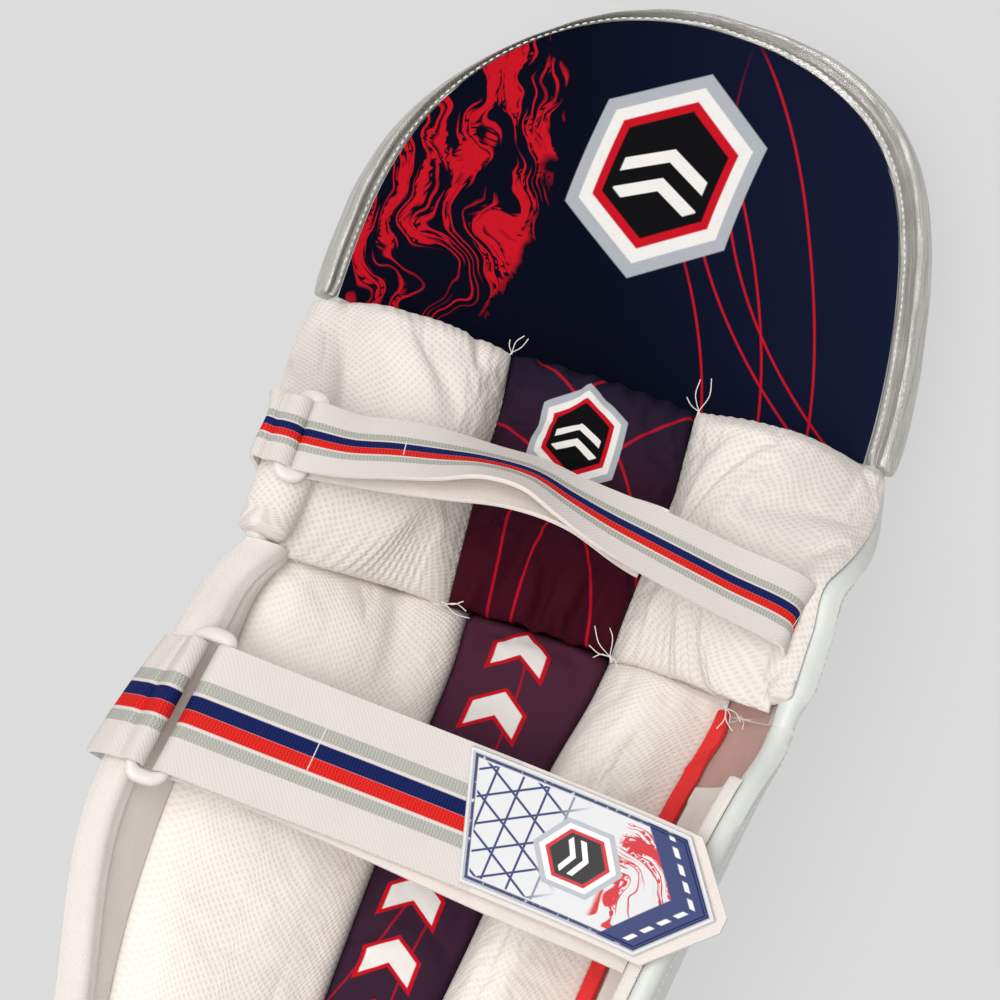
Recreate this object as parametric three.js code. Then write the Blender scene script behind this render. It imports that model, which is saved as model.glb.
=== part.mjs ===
// A cricket batting pad: the leg guard strapped over the front of the shin and knee.
// It lies on its ribbed front with the leg side up, as it is put down after use.
// Millimetres. +X runs across the pad, +Y up the leg to the thigh flap, +Z from the front to the leg.
import * as THREE from "three";

// Driving dimensions
const FLAP_BASE = 174; // where the thigh flap meets the knee
const FLAP_HEIGHT = 160; // from that seam to the crown of the flap
const FLAP_HALF_WIDTH = 111;
const FLAP_ROUNDNESS = 2.4; // 2 is an ellipse, more is squarer
const FLAP_PADDING = 13;
const KNEE_BASE = 66; // where the knee part meets the shin part
const WING_DROP = 13; // how much lower that seam is at the edges of the wings
const CUSHION_SEAM = 72; // where the knee's cushions meet the shin's
const SEAM_DROP = 11; // how much lower that seam is at the sides
const SEAM_HALF_WIDTH = 130; // along the bed, from the middle of that seam to its ends
const PANEL_HALF_LOW = 33; // half width of the knee panel at the lower seam
const PANEL_HALF_HIGH = 40; // and at the thigh flap
const TOE = -345; // lowest corner of the shin part
const INSTEP_ARCH = 38; // how far the toe edge rises over the instep
const ARCH_HALF_WIDTH = 95; // along the bed, from the middle of that arch to its foot
const SHIN_WALL = 9;
const KNEE_WALL = 12;
const LINING_WALL = 2.6;
const GAP = 0.5; // clearance between neighbouring pieces
const BED_GAP = 1.6; // the same on the curved faces of the shell
const BINDING_DIAMETER = 12;
const WEBBING = 1.8; // strap thickness
const PATCH_WALL = 2.2;
const LOOP_WALL = 3.6;
const LOOP_BAR = 4;
const LOOP_BEVEL = 0.8;
const TURN_RADIUS = 4.2; // of the webbing's middle line round a loop's bar

// The pad's own axes start under the knee. This moves the origin to the middle of its base.
const ORIGIN = { x: 7.2, y: -5.8, z: 0 };

// Cross sections of the shell's inner face, from the toe to the thigh seam.
// bed: height of the flat front, middle: its offset across, flat: its half width, bend: corner radius,
// lean: angle that each side turns up to, in degrees, left and right: distance along the wall to each edge.
const SHELL_SECTIONS = [
  { y: -345, bed: 15, middle: -10, flat: 26, bend: 47, leanLeft: 54, leanRight: 56, left: 80, right: 82 },
  { y: -290, bed: 21, middle: -10, flat: 28, bend: 47, leanLeft: 66, leanRight: 75, left: 100, right: 105 },
  { y: -190, bed: 28, middle: -11, flat: 32, bend: 50, leanLeft: 72, leanRight: 94, left: 121, right: 130 },
  { y: -130, bed: 31, middle: -11, flat: 35, bend: 53, leanLeft: 66, leanRight: 99, left: 136, right: 146 },
  { y: -60, bed: 32, middle: -9, flat: 38, bend: 56, leanLeft: 59, leanRight: 100, left: 152, right: 156 },
  { y: 20, bed: 33, middle: -3, flat: 41, bend: 58, leanLeft: 65, leanRight: 98, left: 148, right: 150 },
  { y: 50, bed: 34, middle: 0, flat: 42, bend: 59, leanLeft: 67, leanRight: 98, left: 140, right: 138 },
  { y: 64, bed: 34, middle: 0, flat: 42, bend: 59, leanLeft: 96, leanRight: 98, left: 139, right: 140 },
  { y: 89, bed: 34, middle: 0, flat: 42, bend: 59, leanLeft: 98, leanRight: 98, left: 140, right: 140 },
  { y: 114, bed: 34, middle: 0, flat: 42, bend: 60, leanLeft: 96, leanRight: 96, left: 139, right: 139 },
  { y: 142, bed: 33, middle: 0, flat: 36, bend: 90, leanLeft: 64, leanRight: 64, left: 124, right: 124 },
  { y: 174, bed: 31, middle: -3, flat: 25, bend: 190, leanLeft: 40, leanRight: 40, left: 117, right: 117 },
];
const FLAP_SECTIONS = [
  { y: 174, bed: 31, middle: -4, flat: 25, bend: 190, leanLeft: 40, leanRight: 40 },
  { y: 260, bed: 33, middle: -5, flat: 24, bend: 215, leanLeft: 40, leanRight: 40 },
  { y: 352, bed: 38, middle: 6, flat: 20, bend: 260, leanLeft: 40, leanRight: 40 },
];

// Where the shin's cushions lie along the bed: the middle strip, and the outer edge of each bolster.
const SHIN_CUSHIONS = [
  { y: -330, middle: 0, half: 16, outerLeft: 72, outerRight: 60 },
  { y: -190, middle: 0, half: 17, outerLeft: 102, outerRight: 71 },
  { y: -120, middle: 0.5, half: 19, outerLeft: 118, outerRight: 76 },
  { y: -60, middle: 3, half: 22, outerLeft: 122, outerRight: 78 },
  { y: 20, middle: 3, half: 25, outerLeft: 125, outerRight: 81 },
  { y: 66, middle: 4, half: 29, outerLeft: 122, outerRight: 89 },
];

// Long dents in the cushions, each from one place on the bed to another.
const DENTS = [
  { piece: "knee_bolster_left", fromS: -92, fromY: 172, toS: -78, toY: 140, width: 9, depth: 6 },
  { piece: "knee_bolster_right", fromS: 62, fromY: 118, toS: 104, toY: 160, width: 8, depth: 6 },
  { piece: "knee_bolster_right", fromS: 96, fromY: 66, toS: 70, toY: 100, width: 9, depth: 9 },
  { piece: "knee_panel", fromS: -14, fromY: 70, toS: -10, toY: 96, width: 6, depth: 6 },
  { piece: "knee_panel", fromS: 14, fromY: 70, toS: 20, toY: 92, width: 6, depth: 7 },
  { piece: "shin_bolster_left", fromS: -60, fromY: 72, toS: -48, toY: 34, width: 9, depth: 5 },
];

// Straps: middle line of the webbing from its sewn end to the loop, then of the end that comes back.
// twist turns the webbing about that line, in degrees.
// overEdge is the way of the tab up the outside of the left wing: below the edge, and share of the wall.
const KNEE_STRAP = {
  width: 31,
  sewn: { y: 90, belowEdge: 2, lift: 2.2 },
  run: [
    { x: 96, y: 91.5, z: 103.5, twist: 10 },
    { x: 68, y: 95, z: 109, twist: 22 },
    { x: 32, y: 101, z: 114.5, twist: 38 },
    { x: -8, y: 105.5, z: 117, twist: 50 },
    { x: -45, y: 104, z: 115, twist: 42 },
    { x: -74, y: 101.5, z: 112, twist: 22 },
  ],
  turn: { x: -96.5, y: 100, z: 107.5 },
  back: [
    { x: -70, y: 99, z: 104.5, twist: -22 },
    { x: -42, y: 101, z: 110, twist: -42 },
    { x: -8, y: 103, z: 112.5, twist: -50 },
    { x: 24, y: 99.5, z: 110.5, twist: -42 },
    { x: 46, y: 95.5, z: 107, twist: -32 },
  ],
  backOver: false,
  loop: {
    width: 17, length: 40, tilt: 8, tail: 4,
    overEdge: [
      { below: 14, share: 1.05 },
      { below: 3, share: 1.1 },
      { below: -10, share: 1.3 },
    ],
  },
};
const CALF_STRAP = {
  width: 52,
  sewn: { y: -31, belowEdge: 4, lift: 5 },
  run: [
    { x: 66, y: -29, z: 112, twist: 0 },
    { x: 30, y: -25, z: 111, twist: 0 },
    { x: -30, y: -18.5, z: 110, twist: 0 },
    { x: -68, y: -15.5, z: 109, twist: 0 },
  ],
  turn: { x: -98, y: -14, z: 112 },
  back: [
    { x: -66, y: -16, z: 115.5, twist: 0 },
    { x: -25, y: -18, z: 114, twist: 0 },
    { x: 25, y: -21.5, z: 116, twist: 0 },
    { x: 66, y: -25.5, z: 120, twist: 0 },
    { x: 104, y: -31, z: 125.5, twist: 0 },
  ],
  backOver: true,
  loop: {
    width: 17, length: 60, tilt: 8, tail: 4,
    overEdge: [
      { below: 22, share: 1.05 },
      { below: 3, share: 1.15 },
      { below: -3, share: 1.1 },
      { below: -5.5, share: 0.2 },
    ],
  },
};
const ANKLE_STRAP = {
  width: 31,
  sewn: { y: -216, belowEdge: 4, lift: 5 },
  run: [
    { x: 52, y: -215, z: 97, twist: 0 },
    { x: 20, y: -212, z: 100, twist: 0 },
    { x: -25, y: -209, z: 99, twist: 0 },
    { x: -52, y: -207, z: 97, twist: 0 },
  ],
  turn: { x: -76, y: -206, z: 92 },
  back: [
    { x: -50, y: -207, z: 89, twist: 0 },
    { x: -22, y: -209, z: 92.5, twist: 0 },
    { x: 14, y: -211, z: 94, twist: 0 },
  ],
  backOver: false,
  loop: {
    width: 17, length: 40, tilt: 8, tail: 4,
    overEdge: [
      { below: 22, share: 1.05 },
      { below: 3, share: 1.15 },
      { below: -3, share: 1.1 },
      { below: -9, share: 0.2 },
    ],
  },
};
const PATCH_LENGTH = 107;
const PATCH_SLANT = 15; // how much later its lower edge starts than its upper one
const POINT_LENGTH = 21; // of the pointed end of the patch and of the webbing under it

const FINISHES = {
  facing: { color: 0xe6eae6, roughness: 0.42 },
  lining: { color: 0xf0e8e0, roughness: 0.85 },
  mesh: { color: 0xf1ece3, roughness: 0.9 },
  print: { color: 0x171a36, roughness: 0.75 },
  silver: { color: 0xb9b8b2, roughness: 0.35, metalness: 0.55 },
  tape: { color: 0xd3202a, roughness: 0.7 },
  webbing: { color: 0xefe9e6, roughness: 0.85 },
  plastic: { color: 0xf4efe9, roughness: 0.4 },
  rubber: { color: 0xeceaea, roughness: 0.55 },
};

const pad = new THREE.Group();
pad.name = "batting_pad";
pad.position.set(ORIGIN.x, ORIGIN.y, ORIGIN.z);

function addPiece(name, geometry, finish) {
  const piece = new THREE.Mesh(geometry, new THREE.MeshStandardMaterial(FINISHES[finish]));
  piece.name = name;
  pad.add(piece);
  return piece;
}

// A table with a y column as a smooth function of y that gives the other columns by name.
function smoothTable(rows) {
  const columns = Object.keys(rows[0]).filter((column) => column !== "y");
  const stations = rows.map((row) => row.y);
  const values = rows.flatMap((row) => columns.map((column) => row[column]));
  const result = new Float64Array(columns.length);
  const curve = new THREE.CubicInterpolant(stations, values, columns.length, result);
  return (y) => {
    curve.evaluate(THREE.MathUtils.clamp(y, stations[0], stations.at(-1)));
    return Object.fromEntries(columns.map((column, i) => [column, result[i]]));
  };
}
const shellSection = smoothTable(SHELL_SECTIONS);
const flapSection = smoothTable(FLAP_SECTIONS);
const shinCushions = smoothTable(SHIN_CUSHIONS);

// The point at distance s round a trough section, lifted off its face towards the leg.
function onSection(section, y, s, lift) {
  const lean = THREE.MathUtils.degToRad(s < 0 ? section.leanLeft : section.leanRight);
  const along = Math.abs(s);
  const turn = THREE.MathUtils.clamp((along - section.flat) / section.bend, 0, lean);
  const straight = Math.max(along - section.flat - section.bend * lean, 0);
  const radius = section.bend - lift;
  const x = Math.min(along, section.flat) + radius * Math.sin(turn) + straight * Math.cos(turn);
  const z = section.bed + section.bend - radius * Math.cos(turn) + straight * Math.sin(turn);
  return new THREE.Vector3(section.middle + Math.sign(s) * x, y, z);
}
const onShell = (y, s, lift) => onSection(shellSection(y), y, s, lift);
const onFlap = (y, s, lift) => onSection(flapSection(y), y, s, lift);

// A closed wall between two grids of points. u runs across the columns and v up the rows, both from 0 to 1.
function slab(columns, rows, face, back) {
  const points = [];
  const triangles = [];
  const stride = columns + 1;
  const backStart = stride * (rows + 1);
  for (const side of [face, back])
    for (let row = 0; row <= rows; row++)
      for (let column = 0; column <= columns; column++)
        points.push(...side(column / columns, row / rows).toArray());
  const quad = (a, b, c, d) => triangles.push(a, b, c, a, c, d);
  for (let row = 0; row < rows; row++)
    for (let column = 0; column < columns; column++) {
      const a = row * stride + column;
      quad(a, a + 1, a + stride + 1, a + stride);
      quad(backStart + a, backStart + a + stride, backStart + a + stride + 1, backStart + a + 1);
    }
  const rim = [];
  for (let column = 0; column < columns; column++) rim.push(column);
  for (let row = 0; row < rows; row++) rim.push(row * stride + columns);
  for (let column = columns; column > 0; column--) rim.push(rows * stride + column);
  for (let row = rows; row > 0; row--) rim.push(row * stride);
  rim.forEach((a, i) => {
    const b = rim[(i + 1) % rim.length];
    quad(b, a, backStart + a, backStart + b);
  });
  const geometry = new THREE.BufferGeometry();
  geometry.setAttribute("position", new THREE.Float32BufferAttribute(points, 3));
  geometry.setIndex(triangles);
  return facingOut(geometry);
}

// Turns a closed mesh's faces round if they point inwards.
function facingOut(geometry) {
  const place = geometry.getAttribute("position");
  const corner = [new THREE.Vector3(), new THREE.Vector3(), new THREE.Vector3()];
  const order = geometry.index.array;
  let volume = 0;
  for (let i = 0; i < order.length; i += 3) {
    corner.forEach((point, k) => point.fromBufferAttribute(place, order[i + k]));
    volume += corner[0].dot(corner[1].cross(corner[2])) / 6;
  }
  if (volume < 0)
    for (let i = 0; i < order.length; i += 3) [order[i + 1], order[i + 2]] = [order[i + 2], order[i + 1]];
  geometry.computeVertexNormals();
  return geometry;
}

const mix = THREE.MathUtils.lerp;

// A padded profile from 0 to 1: its height at each end, and how square its shoulders are.
function crown(t, startHeight, endHeight, squareness) {
  const edge = mix(startHeight, endHeight, t);
  return edge + (1 - edge) * (1 - Math.abs(2 * t - 1) ** squareness);
}

// How far the dents of a piece take its surface down at one place on the bed.
function dentDepth(piece, s, y) {
  let depth = 0;
  for (const dent of DENTS.filter((row) => row.piece === piece)) {
    const runS = dent.toS - dent.fromS;
    const runY = dent.toY - dent.fromY;
    const t = ((s - dent.fromS) * runS + (y - dent.fromY) * runY) / (runS ** 2 + runY ** 2);
    const nearest = THREE.MathUtils.clamp(t, 0, 1);
    const away = Math.hypot(s - dent.fromS - nearest * runS, y - dent.fromY - nearest * runY);
    depth += dent.depth * Math.exp(-((away / dent.width) ** 2)) * (1 - 0.6 * nearest);
  }
  return depth;
}

// The toe edge rises in an arch over the instep, and the seams under the knee sink towards the sides.
const toeAt = (s) => TOE + INSTEP_ARCH * Math.max(0, 1 - (s / ARCH_HALF_WIDTH) ** 2);
const kneeEdgeAt = (u) => KNEE_BASE - WING_DROP * (2 * u - 1) ** 2;
const cushionSeamAt = (s) => CUSHION_SEAM - SEAM_DROP * (s / SEAM_HALF_WIDTH) ** 2;

function addShell() {
  const toe = SHELL_SECTIONS[0];
  const wallBetween = (lowAt, highAt, lift) => (u, v) => {
    const y = mix(lowAt(u), highAt(u), v);
    const section = shellSection(y);
    return onSection(section, y, mix(-section.left, section.right, u), lift);
  };
  const toeEdgeAt = (u) => toeAt(mix(-toe.left, toe.right, u));
  const shinTopAt = (u) => kneeEdgeAt(u) - GAP;
  const shin = (lift) => wallBetween(toeEdgeAt, shinTopAt, lift);
  addPiece("shin_shell", slab(20, 14, shin(0), shin(-SHIN_WALL)), "facing");
  const knee = (lift) => wallBetween(kneeEdgeAt, () => FLAP_BASE, lift);
  addPiece("knee_shell", slab(20, 8, knee(0), knee(-KNEE_WALL)), "facing");
}

// The flap's outline as a place on its bed, grown outwards: 0 is its left corner and 1 its right one.
function flapOutline(t, grow) {
  const angle = Math.PI * (1 - t);
  const power = 2 / FLAP_ROUNDNESS;
  const across = Math.sign(Math.cos(angle)) * Math.abs(Math.cos(angle)) ** power;
  const up = Math.abs(Math.sin(angle)) ** power;
  return { s: (FLAP_HALF_WIDTH + grow) * across, y: FLAP_BASE + GAP + (FLAP_HEIGHT + grow) * up };
}

function addFlap() {
  const crownRow = 0.485; // the last row stops just short of the crown
  const flap = (liftAt) => (u, v) => {
    const edge = flapOutline(v * crownRow, 0);
    return onFlap(edge.y, mix(edge.s, -edge.s, u), liftAt(u, v));
  };
  const padded = (u, v) => 3 * crown(u, 0, 0, 4) * crown(v, 0.6, 0, 3);
  addPiece("thigh_flap", slab(10, 12, flap(padded), flap(() => -FLAP_PADDING)), "print");

  const radius = BINDING_DIAMETER / 2;
  const steps = 26;
  const route = [];
  for (let step = 0; step <= steps; step++) {
    const place = flapOutline(step / steps, radius + GAP);
    route.push(onFlap(place.y, place.s, -FLAP_PADDING / 2));
  }
  const section = new THREE.Shape().absellipse(0, 0, radius, radius, 0, 2 * Math.PI);
  const path = new THREE.CatmullRomCurve3(route);
  const tube = new THREE.ExtrudeGeometry(section, {
    steps, curveSegments: 4, bevelEnabled: false, extrudePath: path,
  });
  addPiece("flap_binding", tube, "silver");
}

// A rib or roll on the front: a half-round pad under the wall, flattened where it lies on the floor.
function frontPad(columns, rows, surface, wall, place, thickness) {
  const at = (lift) => (u, v) => {
    const { s, y } = place(u, v);
    const point = surface(y, s, -wall - BED_GAP - lift(u, v));
    point.z = Math.max(point.z, 0);
    return point;
  };
  return slab(columns, rows, at(() => 0), at(thickness));
}

function addFront() {
  // reach: how much of the shell's bend the ribs cover, share: how much of its own lane each rib fills
  const ribs = { count: 7, reach: 0.85, share: 0.96, thickness: 13, top: KNEE_BASE - 12, toeInset: 5 };
  const frontHalf = (y) => shellSection(y).flat + ribs.reach * shellSection(y).bend;
  for (let rib = 1; rib <= ribs.count; rib++) {
    const place = (u, v) => {
      const across = (2 * rib - ribs.count - 1 + mix(-ribs.share, ribs.share, u)) / ribs.count;
      const low = toeAt(across * frontHalf(TOE)) + ribs.toeInset;
      const y = mix(low, ribs.top, v);
      return { s: across * frontHalf(y), y };
    };
    const thickness = (u, v) => ribs.thickness * crown(u, 0.15, 0.15, 2.4) * crown(v, 0.4, 0.4, 12);
    addPiece(`shin_rib_${rib}`, frontPad(4, 6, onShell, SHIN_WALL, place, thickness), "facing");
  }
  const rolls = { height: 31, start: KNEE_BASE + 3, thickness: 22, side: 0.8 };
  ["lower", "middle", "upper"].forEach((name, roll) => {
    const low = rolls.start + roll * rolls.height;
    const place = (u, v) => {
      const y = mix(low, low + rolls.height - GAP, v);
      const { left, right } = shellSection(y);
      return { s: mix(-left, right, u) * rolls.side, y };
    };
    const thickness = (u, v) => rolls.thickness * crown(u, 0.12, 0.12, 6) * crown(v, 0.12, 0.12, 2.2);
    addPiece(`knee_roll_${name}`, frontPad(12, 5, onShell, KNEE_WALL, place, thickness), "facing");
  });
  const flapRibs = { count: 5, pitch: 34, halfWidth: 16, thickness: 8, start: FLAP_BASE + 4, inset: 14 };
  for (let rib = 1; rib <= flapRibs.count; rib++) {
    const middle = (rib - (flapRibs.count + 1) / 2) * flapRibs.pitch;
    const place = (u, v) => {
      const s = middle + mix(-flapRibs.halfWidth, flapRibs.halfWidth, u);
      const reach = 1 - (Math.abs(s) / FLAP_HALF_WIDTH) ** FLAP_ROUNDNESS;
      const top = FLAP_BASE + FLAP_HEIGHT * reach ** (1 / FLAP_ROUNDNESS) - flapRibs.inset;
      return { s, y: mix(flapRibs.start, top, v) };
    };
    const thickness = (u, v) => flapRibs.thickness * crown(u, 0.15, 0.15, 2.4) * crown(v, 0.2, 0.2, 6);
    addPiece(`flap_rib_${rib}`, frontPad(4, 4, onFlap, FLAP_PADDING, place, thickness), "facing");
  }
}

// A cushion on the bed of the shell, from place(u, v), with its padded height at each point.
function addCushion(name, finish, columns, rows, place, height) {
  const rim = 2.5;
  const lifted = (u, v) => {
    const { s, y } = place(u, v);
    return onShell(y, s, Math.max(rim, height(u, v) - dentDepth(name, s, y)));
  };
  const base = (u, v) => {
    const { s, y } = place(u, v);
    return onShell(y, s, BED_GAP);
  };
  addPiece(name, slab(columns, rows, lifted, base), finish);
}

function addKneeCushions() {
  const high = FLAP_BASE - 1;
  const panelHalf = (v) => mix(PANEL_HALF_LOW, PANEL_HALF_HIGH, v);
  const insetLeft = 4;
  const insetRight = (v) => mix(13, 4, v);
  const rowAt = (s, v) => mix(cushionSeamAt(s) + GAP, high, v);
  const puckers = { count: 7, depth: 1.6, reach: 0.16 }; // gathers along the lower and upper seams
  const pucker = (u, v) => {
    const near = Math.exp(-v / puckers.reach) + Math.exp(-(1 - v) / puckers.reach);
    return puckers.depth * near * Math.cos(2 * Math.PI * puckers.count * u);
  };
  const bolsterHeight = 43;
  const panelHeight = 39;
  const along = (v) => crown(v, 0.34, 0.9, 3);
  addCushion(
    "knee_bolster_left", "mesh", 11, 11,
    (u, v) => {
      const { left } = shellSection(mix(CUSHION_SEAM, high, v));
      const s = mix(insetLeft - left, -panelHalf(v) - 2 * GAP, u);
      return { s, y: rowAt(s, v) };
    },
    (u, v) => bolsterHeight * crown(u, 0.2, 0.8, 3) * along(v) + pucker(u, v),
  );
  addCushion(
    "knee_bolster_right", "mesh", 11, 11,
    (u, v) => {
      const { right } = shellSection(mix(CUSHION_SEAM, high, v));
      const s = mix(panelHalf(v) + 2 * GAP, right - insetRight(v), u);
      return { s, y: rowAt(s, v) };
    },
    (u, v) => bolsterHeight * crown(u, 0.8, 0.2, 3) * along(v) + pucker(u, v),
  );
  addCushion(
    "knee_panel", "print", 9, 11,
    (u, v) => {
      const s = mix(-panelHalf(v), panelHalf(v), u);
      return { s, y: rowAt(s, v) };
    },
    (u, v) => panelHeight * crown(u, 0.8, 0.8, 2.4) * along(v) + pucker(u, v),
  );
}

function addShinCushions() {
  const toeInset = 22;
  const rowAt = (s, v) => mix(toeAt(s) + toeInset, cushionSeamAt(s) - GAP, v);
  const bolsterHeight = 36;
  const panelHeight = 19;
  const bolsterToe = 60; // the arch at this distance from the middle sets the bolsters' lower ends
  const along = (v) => crown(v, 0.3, 0.45, 9);
  const place = (columnOf, toe) => (u, v) => {
    const guess = columnOf(shinCushions(rowAt(toe, v)), u);
    const y = mix(rowAt(toe, 0), cushionSeamAt(guess) - GAP, v);
    return { s: columnOf(shinCushions(y), u), y };
  };
  addCushion(
    "shin_bolster_left", "mesh", 9, 14,
    place(({ middle, half, outerLeft }, u) => mix(-outerLeft, middle - half - GAP, u), -bolsterToe),
    (u, v) => bolsterHeight * crown(u, 0.3, 0.42, 2.6) * along(v),
  );
  addCushion(
    "shin_bolster_right", "mesh", 9, 14,
    place(({ middle, half, outerRight }, u) => mix(middle + half + GAP, outerRight, u), bolsterToe),
    (u, v) => bolsterHeight * crown(u, 0.42, 0.3, 2.6) * along(v),
  );
  addCushion(
    "shin_panel", "print", 5, 14,
    place(({ middle, half }, u) => mix(middle - half, middle + half, u), 0),
    (u, v) => panelHeight * crown(u, 0.7, 0.7, 2.4) * along(v),
  );

  const tape = { width: 6.5, height: 3.2, start: -285, end: KNEE_BASE - 3 };
  const tapeAt = (lift) => (u, v) => {
    const y = mix(tape.start, tape.end, v);
    const inner = shinCushions(y).outerRight + GAP;
    return onShell(y, mix(inner, inner + tape.width, u), BED_GAP + lift(u));
  };
  const tapeFace = (u) => 1 + tape.height * crown(u, 0.3, 0, 2);
  addPiece("bolster_edge_tape", slab(2, 14, tapeAt(tapeFace), tapeAt(() => 0)), "tape");

  const linings = [
    { name: "wing_lining_left", side: -1, clear: 1, gap: 2.6, start: -296, end: 38 },
    { name: "wing_lining_right", side: 1, clear: tape.width + 2, gap: BED_GAP, start: -280, end: 27 },
  ];
  const edgeInset = 2.5;
  for (const lining of linings) {
    const liningAt = (lift) => (u, v) => {
      const y = mix(lining.start, lining.end, v);
      const cushions = shinCushions(y);
      const section = shellSection(y);
      const inner = (lining.side < 0 ? cushions.outerLeft : cushions.outerRight) + lining.clear;
      const outer = (lining.side < 0 ? section.left : section.right) - edgeInset;
      return onSection(section, y, lining.side * mix(inner, outer, u), lining.gap + lift(u));
    };
    const liningFace = (u) => LINING_WALL * crown(u, 0.6, 0.5, 4);
    addPiece(lining.name, slab(4, 12, liningAt(liningFace), liningAt(() => 0)), "lining");
  }
}

const toVector = ({ x, y, z }) => new THREE.Vector3(x, y, z);

// Stations along a smooth line through rows of x, y, z and twist, at shares of its length.
function smoothRun(rows, shares) {
  const curve = new THREE.CatmullRomCurve3(rows.map(toVector), false, "centripetal");
  return shares.map((share) => {
    const row = curve.getUtoTmapping(share) * (rows.length - 1);
    const before = rows[Math.floor(row)];
    const after = rows[Math.ceil(row)];
    return { place: curve.getPointAt(share), twist: mix(before.twist, after.twist, row % 1) };
  });
}
const evenShares = (steps, end) => Array.from({ length: steps + 1 }, (_, step) => (end * step) / steps);

// Half a turn round a loop's bar. It starts above or below the bar and goes round one side of it.
function halfTurn(bar, startAngle, direction) {
  return evenShares(6, Math.PI).map((turned) => {
    const angle = startAngle + direction * turned;
    const reach = new THREE.Vector3(Math.cos(angle), 0, Math.sin(angle));
    return { place: toVector(bar).addScaledVector(reach, TURN_RADIUS), twist: 0 };
  });
}
const toRow = ({ place, twist }) => ({ x: place.x, y: place.y, z: place.z, twist });

// Webbing along a line that may differ from one edge to the other: lineAt(u) gives it at u across the width.
function ribbon(lineAt, columns, low, high) {
  const lines = Array.from({ length: columns + 1 }, (_, column) => lineAt(column / columns));
  const last = lines[0].length - 1;
  const at = (lift) => (u, v) => {
    const line = lines[Math.round(u * columns)];
    const i = Math.round(v * last);
    const along = line[Math.min(i + 1, last)].clone().sub(line[Math.max(i - 1, 0)]);
    const across = lines[columns][i].clone().sub(lines[0][i]);
    return line[i].clone().addScaledVector(along.cross(across).normalize(), lift);
  };
  return slab(columns, last, at(low), at(high));
}

// The direction across flat webbing at one of its stations.
function acrossAt(stations, i) {
  const last = stations.length - 1;
  const ahead = stations[Math.min(i + 1, last)].place;
  const along = ahead.clone().sub(stations[Math.max(i - 1, 0)].place).normalize();
  const across = new THREE.Vector3(0, 1, 0).addScaledVector(along, -along.y).normalize();
  return across.applyAxisAngle(along, THREE.MathUtils.degToRad(stations[i].twist));
}

// Lines across flat webbing whose middle line is given. A pointed end narrows over its tip.
function flatWebbing(stations, width, tip) {
  const blunt = 0.12;
  const fromEnd = stations.map(() => 0);
  for (let i = stations.length - 2; i >= 0; i--)
    fromEnd[i] = fromEnd[i + 1] + stations[i].place.distanceTo(stations[i + 1].place);
  return (u) =>
    stations.map(({ place }, i) => {
      const full = tip ? Math.min(1, blunt + ((1 - blunt) * fromEnd[i]) / tip) : 1;
      return place.clone().addScaledVector(acrossAt(stations, i), (u - 0.5) * width * full);
    });
}

// A flat moulded loop with one slot.
function loopPlate({ width, length }) {
  const rounded = (path, w, h, r) => {
    const x = w / 2;
    const y = h / 2;
    path.moveTo(r - x, -y);
    path.lineTo(x - r, -y);
    path.absarc(x - r, r - y, r, -Math.PI / 2, 0);
    path.lineTo(x, y - r);
    path.absarc(x - r, y - r, r, 0, Math.PI / 2);
    path.lineTo(r - x, y);
    path.absarc(r - x, y - r, r, Math.PI / 2, Math.PI);
    path.lineTo(-x, r - y);
    path.absarc(r - x, r - y, r, Math.PI, 1.5 * Math.PI);
    return path;
  };
  const bevel = LOOP_BEVEL;
  const inside = 2 * LOOP_BAR - 2 * bevel;
  const plate = rounded(new THREE.Shape(), width - 2 * bevel, length - 2 * bevel, 5);
  plate.holes.push(rounded(new THREE.Path(), width - inside, length - inside, 2));
  const solid = new THREE.ExtrudeGeometry(plate, {
    depth: LOOP_WALL - 2 * bevel, curveSegments: 2, bevelThickness: bevel, bevelSize: bevel, bevelSegments: 1,
  });
  solid.translate(0, 0, bevel - LOOP_WALL / 2);
  return solid;
}

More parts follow.
